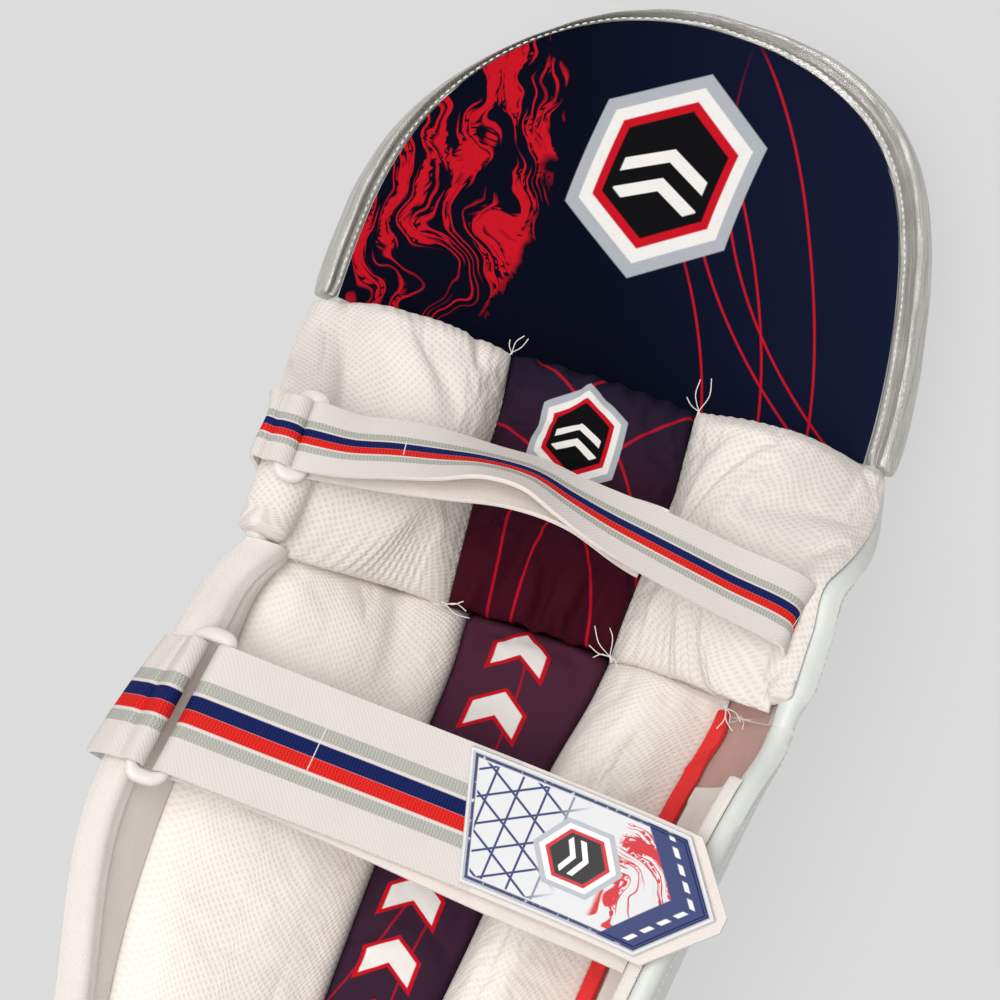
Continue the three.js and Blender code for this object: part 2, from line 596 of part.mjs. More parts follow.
// One strap: webbing sewn inside the right wing, its loop, and the tab that holds the loop on the left wing.
function addStrap(name, strap) {
  const { sewn, turn, loop, width } = strap;
  const quarter = Math.PI / 2;
  const sewnSection = shellSection(sewn.y);
  const sewnAt = sewnSection.right - sewn.belowEdge;
  const sewnEnd = { place: onSection(sewnSection, sewn.y, sewnAt, sewn.lift + WEBBING / 2), twist: 0 };
  const bend = strap.backOver ? halfTurn(turn, -quarter, -1) : halfTurn(turn, quarter, 1);
  const outward = smoothRun([toRow(sewnEnd), ...strap.run, toRow(bend[0])], evenShares(13, 1));
  const backRows = [toRow(bend.at(-1)), ...strap.back];
  const tip = strap.backOver ? POINT_LENGTH : 0;
  const tipShare = tip / new THREE.CatmullRomCurve3(backRows.map(toVector), false, "centripetal").getLength();
  const backShares = evenShares(8, 1 - tipShare);
  if (tip) backShares.push(1 - tipShare / 2, 1);
  const stations = [...outward.slice(0, -1), ...bend, ...smoothRun(backRows, backShares).slice(1)];
  const strapLines = flatWebbing(stations, width, tip);
  addPiece(`${name}_strap`, ribbon(strapLines, 2, -WEBBING / 2, WEBBING / 2), "webbing");

  const tilt = THREE.MathUtils.degToRad(loop.tilt);
  const barSpan = loop.width - LOOP_BAR;
  const fromTurn = (share) => ({
    x: turn.x - share * barSpan * Math.cos(tilt),
    y: turn.y,
    z: turn.z + share * barSpan * Math.sin(tilt),
  });
  const plate = addPiece(`${name}_strap_loop`, loopPlate(loop), "plastic");
  plate.rotation.y = tilt;
  plate.position.copy(fromTurn(0.5));

  const wall = turn.y > KNEE_BASE ? KNEE_WALL : SHIN_WALL;
  const clear = GAP + WEBBING / 2;
  const tabWidth = width - 1;
  const tabLineAt = (u) => {
    const y = turn.y + (u - 0.5) * tabWidth;
    const section = shellSection(y);
    const overEdge = loop.overEdge.map(({ below, share }) => {
      const place = onSection(section, y, below - section.left, -share * wall - clear);
      return toRow({ place, twist: 0 });
    });
    const tabTurn = halfTurn({ ...fromTurn(1), y }, quarter, -1);
    const rise = smoothRun([...overEdge, toRow(tabTurn[0])], evenShares(8, 1));
    const line = [...rise.slice(0, -1), ...tabTurn].map(({ place }) => place);
    line.push(line.at(-1).clone().add(new THREE.Vector3(-loop.tail, 0, 0)));
    return line;
  };
  addPiece(`${name}_strap_tab`, ribbon(tabLineAt, 2, -WEBBING / 2, WEBBING / 2), "webbing");
  return backRows;
}

// The rubber patch on the pointed end of the calf strap. Its other end is slanted.
function addPatch(backRows) {
  const inset = 1; // webbing shows this far past the patch's point
  const width = CALF_STRAP.width - 2;
  const total = new THREE.CatmullRomCurve3(backRows.map(toVector), false, "centripetal").getLength();
  const lineAt = (u) => {
    const end = total - inset - POINT_LENGTH * Math.abs(2 * u - 1);
    const start = total - inset - PATCH_LENGTH + PATCH_SLANT * (1 - u);
    const shares = evenShares(7, 1).map((share) => mix(start, end, share) / total);
    const stations = smoothRun(backRows, shares);
    const aside = (u - 0.5) * width;
    return stations.map(({ place }, i) => place.clone().addScaledVector(acrossAt(stations, i), aside));
  };
  const low = WEBBING / 2 + GAP;
  addPiece("calf_strap_patch", ribbon(lineAt, 4, low, low + PATCH_WALL), "rubber");
}

addShell();
addFlap();
addFront();
addKneeCushions();
addShinCushions();
addStrap("knee", KNEE_STRAP);
addPatch(addStrap("calf", CALF_STRAP));
addStrap("ankle", ANKLE_STRAP);

export default pad;
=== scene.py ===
import math
from functools import cache, reduce

import bmesh
import bpy
import numpy as np
from bpy.props import FloatProperty, FloatVectorProperty, PointerProperty
from mathutils import Matrix, Vector


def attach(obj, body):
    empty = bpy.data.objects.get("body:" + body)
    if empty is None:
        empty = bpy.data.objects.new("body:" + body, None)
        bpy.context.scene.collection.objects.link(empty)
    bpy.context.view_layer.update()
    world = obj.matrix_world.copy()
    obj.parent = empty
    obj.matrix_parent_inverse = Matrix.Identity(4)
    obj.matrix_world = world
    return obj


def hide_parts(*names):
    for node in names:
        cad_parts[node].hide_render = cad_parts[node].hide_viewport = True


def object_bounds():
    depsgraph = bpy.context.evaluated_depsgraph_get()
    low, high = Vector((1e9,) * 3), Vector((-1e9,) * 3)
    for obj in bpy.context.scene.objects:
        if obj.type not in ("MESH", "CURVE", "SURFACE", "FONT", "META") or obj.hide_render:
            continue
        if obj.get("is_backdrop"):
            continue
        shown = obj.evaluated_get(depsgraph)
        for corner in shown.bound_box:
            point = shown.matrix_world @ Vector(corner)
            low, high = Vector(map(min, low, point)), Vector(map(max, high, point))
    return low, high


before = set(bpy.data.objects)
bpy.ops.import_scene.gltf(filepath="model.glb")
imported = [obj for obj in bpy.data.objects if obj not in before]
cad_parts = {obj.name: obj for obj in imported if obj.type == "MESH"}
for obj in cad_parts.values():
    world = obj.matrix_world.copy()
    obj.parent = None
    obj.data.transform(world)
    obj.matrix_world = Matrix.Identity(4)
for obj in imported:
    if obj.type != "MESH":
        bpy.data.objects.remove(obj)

bl_info = {
    "name": "Batting Pad",
    "version": (1, 0, 0),
    "blender": (4, 5, 0),
    "location": "View3D > Sidebar > Batting Pad",
    "description": "Dresses the solids of a batting pad in its cloth, webbing, trim and thread",
    "category": "Object",
}

CAD_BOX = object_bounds()
MM = 0.001  # the tables below are in millimetres

# The tables use the pad's own axes, which start under the knee: x across, y up the leg, z towards the leg.
ORIGIN = np.array([7.2, -5.8, 0.0])

FLAP_BASE = 174
FLAP_HEIGHT = 160
FLAP_HALF_WIDTH = 111
FLAP_ROUNDNESS = 2.4
FLAP_PADDING = 13
KNEE_BASE = 66
WING_DROP = 13
CUSHION_SEAM = 72
SEAM_DROP = 11
SEAM_HALF_WIDTH = 130
PANEL_HALF_LOW = 33
PANEL_HALF_HIGH = 40
TOE = -345
INSTEP_ARCH = 38
ARCH_HALF_WIDTH = 95
SHIN_WALL = 9
KNEE_WALL = 12
GAP = 0.5
SEAM_GAP = 0.15
BED_GAP = 1.6
WEBBING = 1.8
PATCH_WALL = 2.2
TURN_RADIUS = 4.2
LOOP_BAR = 4
LOOP_WALL = 3.6
PATCH_LENGTH = 107
PATCH_SLANT = 15
POINT_LENGTH = 21
PATCH_MARGIN = 2
PATCH_SETBACK = 3.5
LINING_REACH = 3.2
PUFF_FRAMES = 20
PUFF_CAP = 6
OFF_FLOOR = 0.05
STEPS_BETWEEN = 24  # of a smooth line, from one of its points to the next


def hermite(start, leave, end, arrive, t):
    """A smooth step from start to end as t goes from 0 to 1, with its slopes at both ends."""
    return (
        start * (1 + 2 * t) * (1 - t) ** 2 + leave * t * (1 - t) ** 2
        + end * (3 - 2 * t) * t**2 + arrive * (t - 1) * t**2
    )


class SmoothTable:
    """The rows of a table as smooth functions of its first column."""

    def __init__(self, columns, *rows):
        self.names = columns.split()[1:]
        data = np.array(rows, float)
        self.stations = data[:, 0]
        self.values = data[:, 1:]
        secant = np.diff(self.values, axis=0) / np.diff(self.stations)[:, None]
        self.slopes = np.vstack([secant[:1], (secant[1:] + secant[:-1]) / 2, secant[-1:]])

    def __call__(self, at):
        at = np.clip(np.asarray(at, float), self.stations[0], self.stations[-1])
        i = np.clip(np.searchsorted(self.stations, at, side="right"), 1, len(self.stations) - 1)
        span = (self.stations[i] - self.stations[i - 1])[..., None]
        t = (at - self.stations[i - 1])[..., None] / span
        leave, arrive = self.slopes[i - 1] * span, self.slopes[i] * span
        value = hermite(self.values[i - 1], leave, self.values[i], arrive, t)
        return {name: value[..., column] for column, name in enumerate(self.names)}


# Cross sections of the shell's inner face, from the toe to the thigh seam.
SHELL = SmoothTable(
    "y bed middle flat bend lean_left lean_right left right",
    (-345, 15, -10, 26, 47, 54, 56, 80, 82),
    (-290, 21, -10, 28, 47, 66, 75, 100, 105),
    (-190, 28, -11, 32, 50, 72, 94, 121, 130),
    (-130, 31, -11, 35, 53, 66, 99, 136, 146),
    (-60, 32, -9, 38, 56, 59, 100, 152, 156),
    (20, 33, -3, 41, 58, 65, 98, 148, 150),
    (50, 34, 0, 42, 59, 67, 98, 140, 138),
    (64, 34, 0, 42, 59, 96, 98, 139, 140),
    (89, 34, 0, 42, 59, 98, 98, 140, 140),
    (114, 34, 0, 42, 60, 96, 96, 139, 139),
    (142, 33, 0, 36, 90, 64, 64, 124, 124),
    (174, 31, -3, 25, 190, 40, 40, 117, 117),
)
FLAP = SmoothTable(
    "y bed middle flat bend lean_left lean_right",
    (174, 31, -4, 25, 190, 40, 40),
    (260, 33, -5, 24, 215, 40, 40),
    (352, 38, 6, 20, 260, 40, 40),
)
# Where the shin's cushions lie along the bed.
SHIN_CUSHIONS = SmoothTable(
    "y middle half outer_left outer_right",
    (-330, 0, 16, 72, 60),
    (-190, 0, 17, 102, 71),
    (-120, 0.5, 19, 118, 76),
    (-60, 3, 22, 122, 78),
    (20, 3, 25, 125, 81),
    (66, 4, 29, 122, 89),
)
# Long dents in the cushions: from s, y to s, y along the bed, then width and depth. A bulge is below zero.
DENTS = {
    "knee_bolster_left": [(-92, 172, -78, 140, 9, 4), (-60, 176, -57, 160, 3.2, 5)],
    "knee_bolster_right": [
        (46, 118, 84, 166, 5, 4.5), (104, 58, 101, 78, 3, 12),
        (122, 64, 124, 80, 9, -5), (84, 64, 82, 84, 10, -4),
    ],
    "knee_panel": [(-16, 68, -12, 98, 4, 6), (3, 68, 2, 90, 3.5, 4), (15, 68, 20, 96, 4, 7)],
    "shin_bolster_left": [(-60, 72, -48, 34, 9, 3)],
}
# Straps: x, y, z and twist of the webbing's middle line from its sewn end to the loop, then of the end
# that comes back. Tabs: how far below the left wing's edge, and the share of the wall outwards.
STRAPS = {
    "knee": {
        "width": 28,
        "sewn": (90, 2, 2.2),
        "run": [
            (96, 93.4, 103.5, -8), (68, 96.7, 109, 5), (40, 100.4, 113.5, 12.5), (20, 103.3, 115.5, 25),
            (4, 106.7, 116.5, 38), (-12, 110.7, 116.8, 48), (-30, 110.5, 116, 48), (-50, 107.3, 114.5, 30),
            (-66, 104.6, 113, 21.5), (-82, 101, 111.8, 16),
        ],
        "turn": (-96.5, 100, 107.5),
        "back": [
            (-68, 102.7, 104.5, -10.5), (-44, 104.5, 108, -23), (-20, 107.7, 110, -29),
            (2, 106.1, 110, -38), (17, 104.6, 109, -27), (38, 101.5, 108.5, 9),
        ],
        "back_over": False,
        "loop_length": 35,
        "loop_width": 13.5,
        "skew": 0,
        "over_edge": [(14, 1.05), (3, 1.1), (-10, 1.3)],
        "wall": KNEE_WALL,
    },
    "calf": {
        "width": 52,
        "sewn": (-31, 4, 5),
        "run": [(66, -29.5, 112, 0), (30, -26.5, 111, 0), (-30, -19.8, 110, 0), (-68, -16, 109, 0)],
        "turn": (-102, -14, 112),
        "back": [
            (-66, -16, 115.5, 0), (-25, -18, 114, 0), (25, -21.5, 116, 0),
            (66, -25.5, 120, 0), (106.5, -31.4, 125.8, 0),
        ],
        "back_over": True,
        "loop_length": 62,
        "loop_width": 17.5,
        "skew": 8.5,
        "over_edge": [(22, 1.05), (3, 1.15), (-3, 1.1), (-5.5, 0.2)],
        "wall": SHIN_WALL,
    },
    "ankle": {
        "width": 31,
        "sewn": (-216, 4, 5),
        "run": [(52, -215, 97, 0), (20, -212, 100, 0), (-25, -209, 99, 0), (-52, -207, 97, 0)],
        "turn": (-76, -206, 92),
        "back": [(-50, -207, 89, 0), (-22, -209, 92.5, 0), (14, -211, 94, 0)],
        "back_over": False,
        "loop_length": 40,
        "loop_width": 16,
        "skew": 0,
        "over_edge": [(22, 1.05), (3, 1.15), (-3, 1.1), (-9, 0.2)],
        "wall": SHIN_WALL,
    },
}
LOOP_TILT = 8
TAB_TAIL = 4
TAB_SEAM = 6
TAB_DIP = 2.3


def srgb(red, green, blue):
    """A screen colour from 0 to 255 as the linear colour that shaders use."""
    share = np.array([red, green, blue]) / 255
    linear = np.where(share <= 0.04045, share / 12.92, ((share + 0.055) / 1.055) ** 2.4)
    return tuple(float(channel) for channel in linear)


def number(name, description, default, **kind):
    return FloatProperty(name=name, description=description, default=default, **kind)


def metres(name, description, default):
    return number(name, description, default, precision=5, unit="LENGTH")


def degrees(name, description, default):
    return number(name, description, math.radians(default), subtype="ANGLE")


def colour(name, description, *screen):
    return FloatVectorProperty(
        name=name, description=description, default=srgb(*screen), size=3, min=0, max=1, subtype="COLOR"
    )


class PadSizes(bpy.types.PropertyGroup):
    """Fine sizes of the pad's cloth, thread and trim"""

    net_pitch: metres("Net Pitch", "Distance between the holes of the mesh cloth", 0.0024)
    weave_pitch: metres("Weave Pitch", "Distance between the ribs of the strap webbing", 0.0013)
    cloth_pitch: metres("Cloth Pitch", "Distance between the threads of the lining cloth", 0.0006)
    grain: metres("Grain", "Size of the grain of the coated facing", 0.0011)
    stitch_length: metres("Stitch Length", "Length of one stitch", 0.0024)
    stitch_pitch: metres("Stitch Pitch", "Distance from one stitch to the next", 0.0033)
    thread: metres("Thread", "Radius of the sewing thread", 0.00035)
    cover_pressure: number("Cover Pressure", "Pressure of the filling on a cushion's cover", 3.0)


class PadColours(bpy.types.PropertyGroup):
    """Colours of the pad's finishes"""

    facing: colour("Facing", "Coated facing", 220, 222, 217)
    backing: colour("Backing", "Cloth on the inside of the shell", 212, 170, 160)
    lining: colour("Lining", "Lining of the wings", 238, 230, 223)
    net: colour("Net", "Strands of the mesh cloth", 243, 235, 227)
    # Painted shade in part: the holes are darker partly as the ground seen through them and partly as shade
    # that falls in them.
    net_hole: colour("Net Hole", "Ground seen through the mesh cloth", 226, 216, 207)
    navy: colour("Navy", "Ground of the flap's print", 7, 10, 27)
    # Painted sheen: a lighter navy laid over the flap's print towards its right and upper edges, where light
    # falls on the satin.
    navy_sheen: colour("Light Navy", "Ground of the flap's print towards its right edge", 20, 26, 52)
    plum: colour("Plum", "Ground of the print at the knee's lower end", 62, 15, 29)
    dusk: colour("Dusk", "Ground of the print at the knee's upper end", 42, 34, 54)
    plum_light: colour("Light Plum", "Ground of the print at the shin's upper end", 88, 44, 62)
    plum_dark: colour("Dark Plum", "Ground of the print along the shin", 58, 36, 54)
    red: colour("Red", "Printed lines", 200, 20, 36)
    white: colour("White", "Printed white", 240, 236, 232)
    grey: colour("Grey", "Printed grey", 176, 180, 186)
    black: colour("Black", "Printed black", 16, 16, 18)
    silver: colour("Silver", "Coated piping", 234, 231, 225)
    tape: colour("Tape", "Edge tape of the shin bolster", 232, 26, 24)
    strap: colour("Strap", "Ground of the straps", 218, 209, 204)
    strap_back: colour("Strap Back", "Back of the straps", 230, 220, 212)
    strap_grey: colour("Strap Grey", "Outer stripes of the straps", 164, 166, 155)
    strap_navy: colour("Strap Navy", "Upper middle stripe", 13, 31, 98)
    strap_red: colour("Strap Red", "Lower middle stripe", 232, 36, 28)
    plastic: colour("Plastic", "Strap loops", 222, 215, 210)
    rubber: colour("Rubber", "Patch", 220, 219, 220)
    ink: colour("Ink", "Lines on the patch", 24, 42, 102)
    thread: colour("Thread", "Sewing thread", 240, 235, 228)
    silver_thread: colour("Silver Thread", "Thread of the piping's seam", 236, 234, 228)


class PadStage(bpy.types.PropertyGroup):
    """Camera, light and floor"""

    lens: number("Lens", "Focal length of the camera in millimetres", 136.2)
    turn: degrees("Turn", "Camera's turn to the right", 18.37)
    height: degrees("Height", "Camera's angle above the floor", 74.16)
    distance: metres("Distance", "From the camera to the point that it looks at", 1.478)
    target: FloatVectorProperty(
        name="Target", description="Point that the camera looks at", unit="LENGTH",
        default=(-0.0191, 0.1069, 0.06),
    )
    floor: colour("Floor", "Floor", 100, 100, 100)
    glow: number("Glow", "Light from under the floor's translucent sheet", 0.567)
    sky: number("Sky", "Strength of the light from all round", 0.52)
    key: number("Key", "Power of the main lamp in watts", 55.0)
    fill: number("Fill", "Power of the second lamp in watts", 34.0)


def sizes():
    return bpy.context.scene.pad_sizes


def colours():
    return bpy.context.scene.pad_colours


# Shapes on the shell


def mix(start, end, share):
    return start + (end - start) * share


def crown(t, start, end, squareness):
    """A padded profile from 0 to 1: its height at each end, and how square its shoulders are."""
    edge = mix(start, end, t)
    return edge + (1 - edge) * (1 - np.abs(2 * t - 1) ** squareness)


def ease(t, low, high):
    share = np.clip((t - low) / (high - low), 0, 1)
    return share * share * (3 - 2 * share)


def edge_drop(distance, radius):
    """How far a rounded edge has dropped at a distance from it."""
    left = np.clip(1 - distance / radius, 0, 1)
    return radius * (1 - np.sqrt(1 - left**2))


def on_section(section, y, s, lift):
    """Points at distance s round a trough section, lifted off its face towards the leg."""
    lean = np.radians(np.where(s < 0, section["lean_left"], section["lean_right"]))
    along = np.abs(s)
    flat, bend = section["flat"], section["bend"]
    turn = np.clip((along - flat) / bend, 0, lean)
    straight = np.maximum(along - flat - bend * lean, 0)
    radius = bend - lift
    x = np.minimum(along, flat) + radius * np.sin(turn) + straight * np.cos(turn)
    z = section["bed"] + bend - radius * np.cos(turn) + straight * np.sin(turn)
    return np.stack(np.broadcast_arrays(section["middle"] + np.sign(s) * x, y, z), axis=-1)


def on_shell(y, s, lift):
    return on_section(SHELL(y), y, s, lift)


def on_flap(y, s, lift):
    return on_section(FLAP(y), y, s, lift)


def toe_at(s):
    return TOE + INSTEP_ARCH * np.maximum(0, 1 - (s / ARCH_HALF_WIDTH) ** 2)


def knee_edge_at(u):
    return KNEE_BASE - WING_DROP * (2 * u - 1) ** 2


def cushion_seam_at(s):
    return CUSHION_SEAM - SEAM_DROP * (s / SEAM_HALF_WIDTH) ** 2


def dent_depth(piece, s, y):
    depth = np.zeros_like(s)
    for from_s, from_y, to_s, to_y, width, deep in DENTS.get(piece, []):
        run_s, run_y = to_s - from_s, to_y - from_y
        t = np.clip(((s - from_s) * run_s + (y - from_y) * run_y) / (run_s**2 + run_y**2), 0, 1)
        away = np.hypot(s - from_s - t * run_s, y - from_y - t * run_y)
        depth += deep * np.exp(-((away / width) ** 2)) * (1 - 0.6 * t)
    return depth


def grid_of(columns, rows, surface):
    """Points of a surface on a grid, u across the columns and v up the rows, both from 0 to 1."""
    u, v = np.meshgrid(np.linspace(0, 1, columns + 1), np.linspace(0, 1, rows + 1), indexing="ij")
    return surface(u, v)


def flat_lengths(grid):
    """How far each point of a grid is across and along its cloth, in millimetres, from the middle column."""
    across = np.linalg.norm(np.diff(grid, axis=0), axis=-1)
    along = np.linalg.norm(np.diff(grid, axis=1), axis=-1)
    u = np.concatenate([np.zeros((1, grid.shape[1])), np.cumsum(across, axis=0)])
    v = np.concatenate([np.zeros((grid.shape[0], 1)), np.cumsum(along, axis=1)], axis=1)
    return np.stack([u - u[grid.shape[0] // 2], v], axis=-1)


def unit(directions):
    return directions / np.maximum(np.linalg.norm(directions, axis=-1, keepdims=True), 1e-9)


def grid_normals(grid):
    return unit(np.cross(np.gradient(grid, axis=0), np.gradient(grid, axis=1)))


def run_lengths(points):
    """How far each point of a line is along it."""
    return np.concatenate([[0], np.cumsum(np.linalg.norm(np.diff(points[:, :3], axis=0), axis=1))])


def at_lengths(lengths, run, rows):
    """Rows between those of a table, at lengths along the line that its own rows are on."""
    return np.stack([np.interp(lengths, run, column) for column in rows.T], axis=-1)


def smooth_line(points, steps):
    """Evenly spaced points on a smooth line through a few points of any number of columns."""
    points = np.array(points, float)
    ends = np.vstack([2 * points[0] - points[1], points, 2 * points[-1] - points[-2]])
    t = np.linspace(0, 1, STEPS_BETWEEN, endpoint=False)[:, None]
    fine = []
    for before, start, end, after in zip(ends, ends[1:], ends[2:], ends[3:]):
        stretches = (start - before, end - start, after - end)
        d0, d1, d2 = (max(np.linalg.norm(stretch[:3]), 1e-6) ** 0.5 for stretch in stretches)
        leave = ((start - before) / d0 - (end - before) / (d0 + d1) + (end - start) / d1) * d1
        arrive = ((end - start) / d1 - (after - start) / (d1 + d2) + (after - end) / d2) * d1
        fine.append(hermite(start, leave, end, arrive, t))
    fine = np.vstack([*fine, points[-1:]])
    run = run_lengths(fine)
    return at_lengths(np.linspace(0, run[-1], steps + 1), run, fine)


# Meshes


def new_block(columns, rows, layers):
    """A block with a grid of faces on its two sides. Each vertex's place holds its column, row and layer."""
    block = bmesh.new()
    block.loops.layers.uv.new("UVMap")
    bmesh.ops.create_grid(block, x_segments=columns, y_segments=rows, size=0.5, calc_uvs=True)
    low = Vector((min(v.co.x for v in block.verts), min(v.co.y for v in block.verts), 0))
    high = Vector((max(v.co.x for v in block.verts), max(v.co.y for v in block.verts), 0))
    bmesh.ops.translate(block, vec=-low, verts=block.verts)
    scale = Vector((columns / (high.x - low.x), rows / (high.y - low.y), 1))
    bmesh.ops.scale(block, vec=scale, verts=block.verts)
    skin = list(block.faces)
    for layer in range(layers):
        grown = bmesh.ops.extrude_face_region(block, geom=skin)["geom"]
        lifted = [part for part in grown if isinstance(part, bmesh.types.BMVert)]
        bmesh.ops.translate(block, vec=(0, 0, 1), verts=lifted)
        if layer:
            bmesh.ops.delete(block, geom=skin, context="FACES")
        skin = [part for part in grown if isinstance(part, bmesh.types.BMFace)]
    return block


def block_places(block):
    return np.rint([v.co for v in block.verts]).astype(int).reshape(-1, 3).T


def set_places(block, points):
    for vert, point in zip(block.verts, points + ORIGIN):
        vert.co = point * MM


def set_flat(block, flat):
    """Writes each vertex's place on its flat cloth, in millimetres, as the UV map in metres."""
    layer = block.loops.layers.uv.active
    block.verts.index_update()
    for face in block.faces:
        for loop in face.loops:
            loop[layer].uv = flat[loop.vert.index] * MM


def wall(face, back, layers=1, rim=0.0, flat=None, inner=None):
    """A closed wall between two grids of points. rim rounds its edges outwards, and inner gives the face
    its second material that many columns in from the sides, and from one row to another."""
    columns, rows = face.shape[0] - 1, face.shape[1] - 1
    block = new_block(columns, rows, layers)
    column, row, layer = block_places(block)
    if inner:
        for part in block.faces:
            middle = part.calc_center_median()
            inside_columns = inner[0] <= middle.x <= columns - inner[0]
            inside_rows = inner[1] <= middle.y <= inner[2]
            part.material_index = int(middle.z < 0.1 and inside_columns and inside_rows)
    share = (layer / layers)[:, None]
    points = mix(face[column, row], back[column, row], share)
    if rim:
        middle = (face + back) / 2
        inner_column = np.clip(column, 1, columns - 1)
        inner_row = np.clip(row, 1, rows - 1)
        outward = middle[column, row] - middle[inner_column, inner_row]
        points = points + unit(outward) * rim * np.sin(np.pi * share)
    set_places(block, points)
    flat = flat_lengths(face) if flat is None else flat
    set_flat(block, flat[column, row])
    return block


def ribbon(grid, face, back, layers=2, rim=0.3, flat=None, inner=None):
    """A closed strip of cloth about a grid of points, its face and back so far along the grid's normals."""
    normal = grid_normals(grid)
    return wall(grid + normal * face, grid + normal * back, layers, rim, flat, inner)


def rolled(grid, closed_path=False):
    """A tube from a grid whose last row meets its first. Its ends meet on a closed path, or are capped."""
    columns, rows = grid.shape[0] - 1, grid.shape[1] - 1
    tube = new_block(columns, rows, 0)
    column, row, _ = block_places(tube)
    set_places(tube, grid[column, row])
    set_flat(tube, flat_lengths(grid)[column, row])
    bmesh.ops.remove_doubles(tube, verts=tube.verts, dist=1e-6)
    if not closed_path:
        bmesh.ops.holes_fill(tube, edges=[e for e in tube.edges if e.is_boundary])
    return tube


def round_tube(path, radius, sides):
    """A grid of points round a path."""
    along_no_path = (0.31, 0.17, 0.93)
    along = unit(np.gradient(path, axis=0))
    side = unit(np.cross(along, along_no_path))
    other = np.cross(along, side)
    turn = np.linspace(0, 2 * np.pi, sides + 1)[None, :, None]
    return path[:, None] + radius * (side[:, None] * np.cos(turn) + other[:, None] * np.sin(turn))


def to_mesh(name, shape):
    mesh = bpy.data.meshes.new(name)
    shape.to_mesh(mesh)
    shape.free()
    return mesh


def add_object(name, data):
    item = bpy.data.objects.new(name, data)
    bpy.context.scene.collection.objects.link(item)
    return item


def add_piece(name, shape, materials, replaces=(), sharp=50):
    """Makes a bmesh into a piece of the pad."""
    bmesh.ops.recalc_face_normals(shape, faces=shape.faces)
    if shape.calc_volume(signed=True) < 0:
        bmesh.ops.reverse_faces(shape, faces=shape.faces)
    for face in shape.faces:
        face.smooth = True
    mesh = to_mesh(name, shape)
    mesh.set_sharp_from_angle(angle=math.radians(sharp))
    for material in materials if isinstance(materials, list) else [materials]:
        mesh.materials.append(material)
    piece = add_object(name, mesh)
    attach(piece, "root")
    if replaces:
        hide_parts(*replaces)


# Finishes


class Field:
    """A number, colour or place that changes over a surface, as a node socket."""

    def __init__(self, tree, socket):
        self.tree = tree
        self.socket = socket

    def __add__(self, other):
        return maths("ADD", self, other)

    def __sub__(self, other):
        return maths("SUBTRACT", self, other)

    def __rsub__(self, other):
        return maths("SUBTRACT", other, self)

    def __mul__(self, other):
        return maths("MULTIPLY", self, other)

    def __truediv__(self, other):
        return maths("DIVIDE", self, other)

    def __abs__(self):
        return maths("ABSOLUTE", self)

    def fraction(self):
        return maths("FRACT", self)

    def least(self, other):
        return maths("MINIMUM", self, other)

    def most(self, other):
        return maths("MAXIMUM", self, other)

    def below(self, limit, blur=0.25):
        """1 where the number is under a limit and 0 over it, with a soft step between."""
        return maths("ADD", (limit - self) * (0.5 / blur), 0.5, clamp=True)

    def above(self, limit, blur=0.25):
        return maths("ADD", (self - limit) * (0.5 / blur), 0.5, clamp=True)


def plug(tree, socket, value):
    if isinstance(value, Field):
        tree.links.new(value.socket, socket)
    else:
        socket.default_value = value


def maths(operation, *values, clamp=False):
    tree = next(value.tree for value in values if isinstance(value, Field))
    node = tree.nodes.new("ShaderNodeMath")
    node.operation = operation
    node.use_clamp = clamp
    for socket, value in zip(node.inputs, values):
        plug(tree, socket, value)
    return Field(tree, node.outputs[0])


def at_place(x, y, z=0.0):
    node = x.tree.nodes.new("ShaderNodeCombineXYZ")
    for socket, value in zip(node.inputs, (x, y, z)):
        plug(x.tree, socket, value)
    return Field(x.tree, node.outputs[0])


def object_place(tree):
    return Field(tree, tree.nodes.new("ShaderNodeTexCoord").outputs["Object"])


def cloth_place(tree):
    """Millimetres across and along the cloth, from the piece's UV map."""
    node = tree.nodes.new("ShaderNodeSeparateXYZ")
    tree.links.new(tree.nodes.new("ShaderNodeUVMap").outputs[0], node.inputs[0])
    return Field(tree, node.outputs[0]) / MM, Field(tree, node.outputs[1]) / MM


def repeats(size):
    """How many cells of a size there are in one unit."""
    return maths("DIVIDE", 1.0, size) if isinstance(size, Field) else 1 / size


def noise(place, size, detail=2.0, rough=0.5):
    node = place.tree.nodes.new("ShaderNodeTexNoise")
    plug(place.tree, node.inputs["Vector"], place)
    plug(place.tree, node.inputs["Scale"], repeats(size))
    node.inputs["Detail"].default_value = detail
    node.inputs["Roughness"].default_value = rough
    return Field(place.tree, node.outputs[0])


def cells(place, size):
    """Distance from the edges of small irregular cells."""
    node = place.tree.nodes.new("ShaderNodeTexVoronoi")
    node.feature = "DISTANCE_TO_EDGE"
    plug(place.tree, node.inputs["Vector"], place)
    plug(place.tree, node.inputs["Scale"], repeats(size))
    return Field(place.tree, node.outputs["Distance"])


def tint(ground, layer, mask):
    """A colour with another laid over it where a mask is 1."""
    node = mask.tree.nodes.new("ShaderNodeMix")
    node.data_type = "RGBA"
    plug(mask.tree, node.inputs[0], mask)
    for socket, value in ((node.inputs[6], ground), (node.inputs[7], layer)):
        plug(mask.tree, socket, value if isinstance(value, Field) else (*value, 1))
    return Field(mask.tree, node.outputs[2])


def shade(value, amount):
    return tuple(channel * amount for channel in value)


def effect(name, *inputs):
    """Makes a function of fields into a shader node group that several finishes use, built at its first use.
    The function gets the group's inputs and gives its outputs by name."""

    def as_group(build):
        @cache
        def group():
            tree = bpy.data.node_groups.new(name, "ShaderNodeTree")
            for label in inputs:
                tree.interface.new_socket(label, in_out="INPUT", socket_type="NodeSocketFloat")
            entry = tree.nodes.new("NodeGroupInput")
            results = build(*(Field(tree, entry.outputs[label]) for label in inputs))
            for label in results:
                tree.interface.new_socket(label, in_out="OUTPUT", socket_type="NodeSocketFloat")
            leave = tree.nodes.new("NodeGroupOutput")
            for label, field in results.items():
                tree.links.new(field.socket, leave.inputs[label])
            return tree

        return group

    return as_group


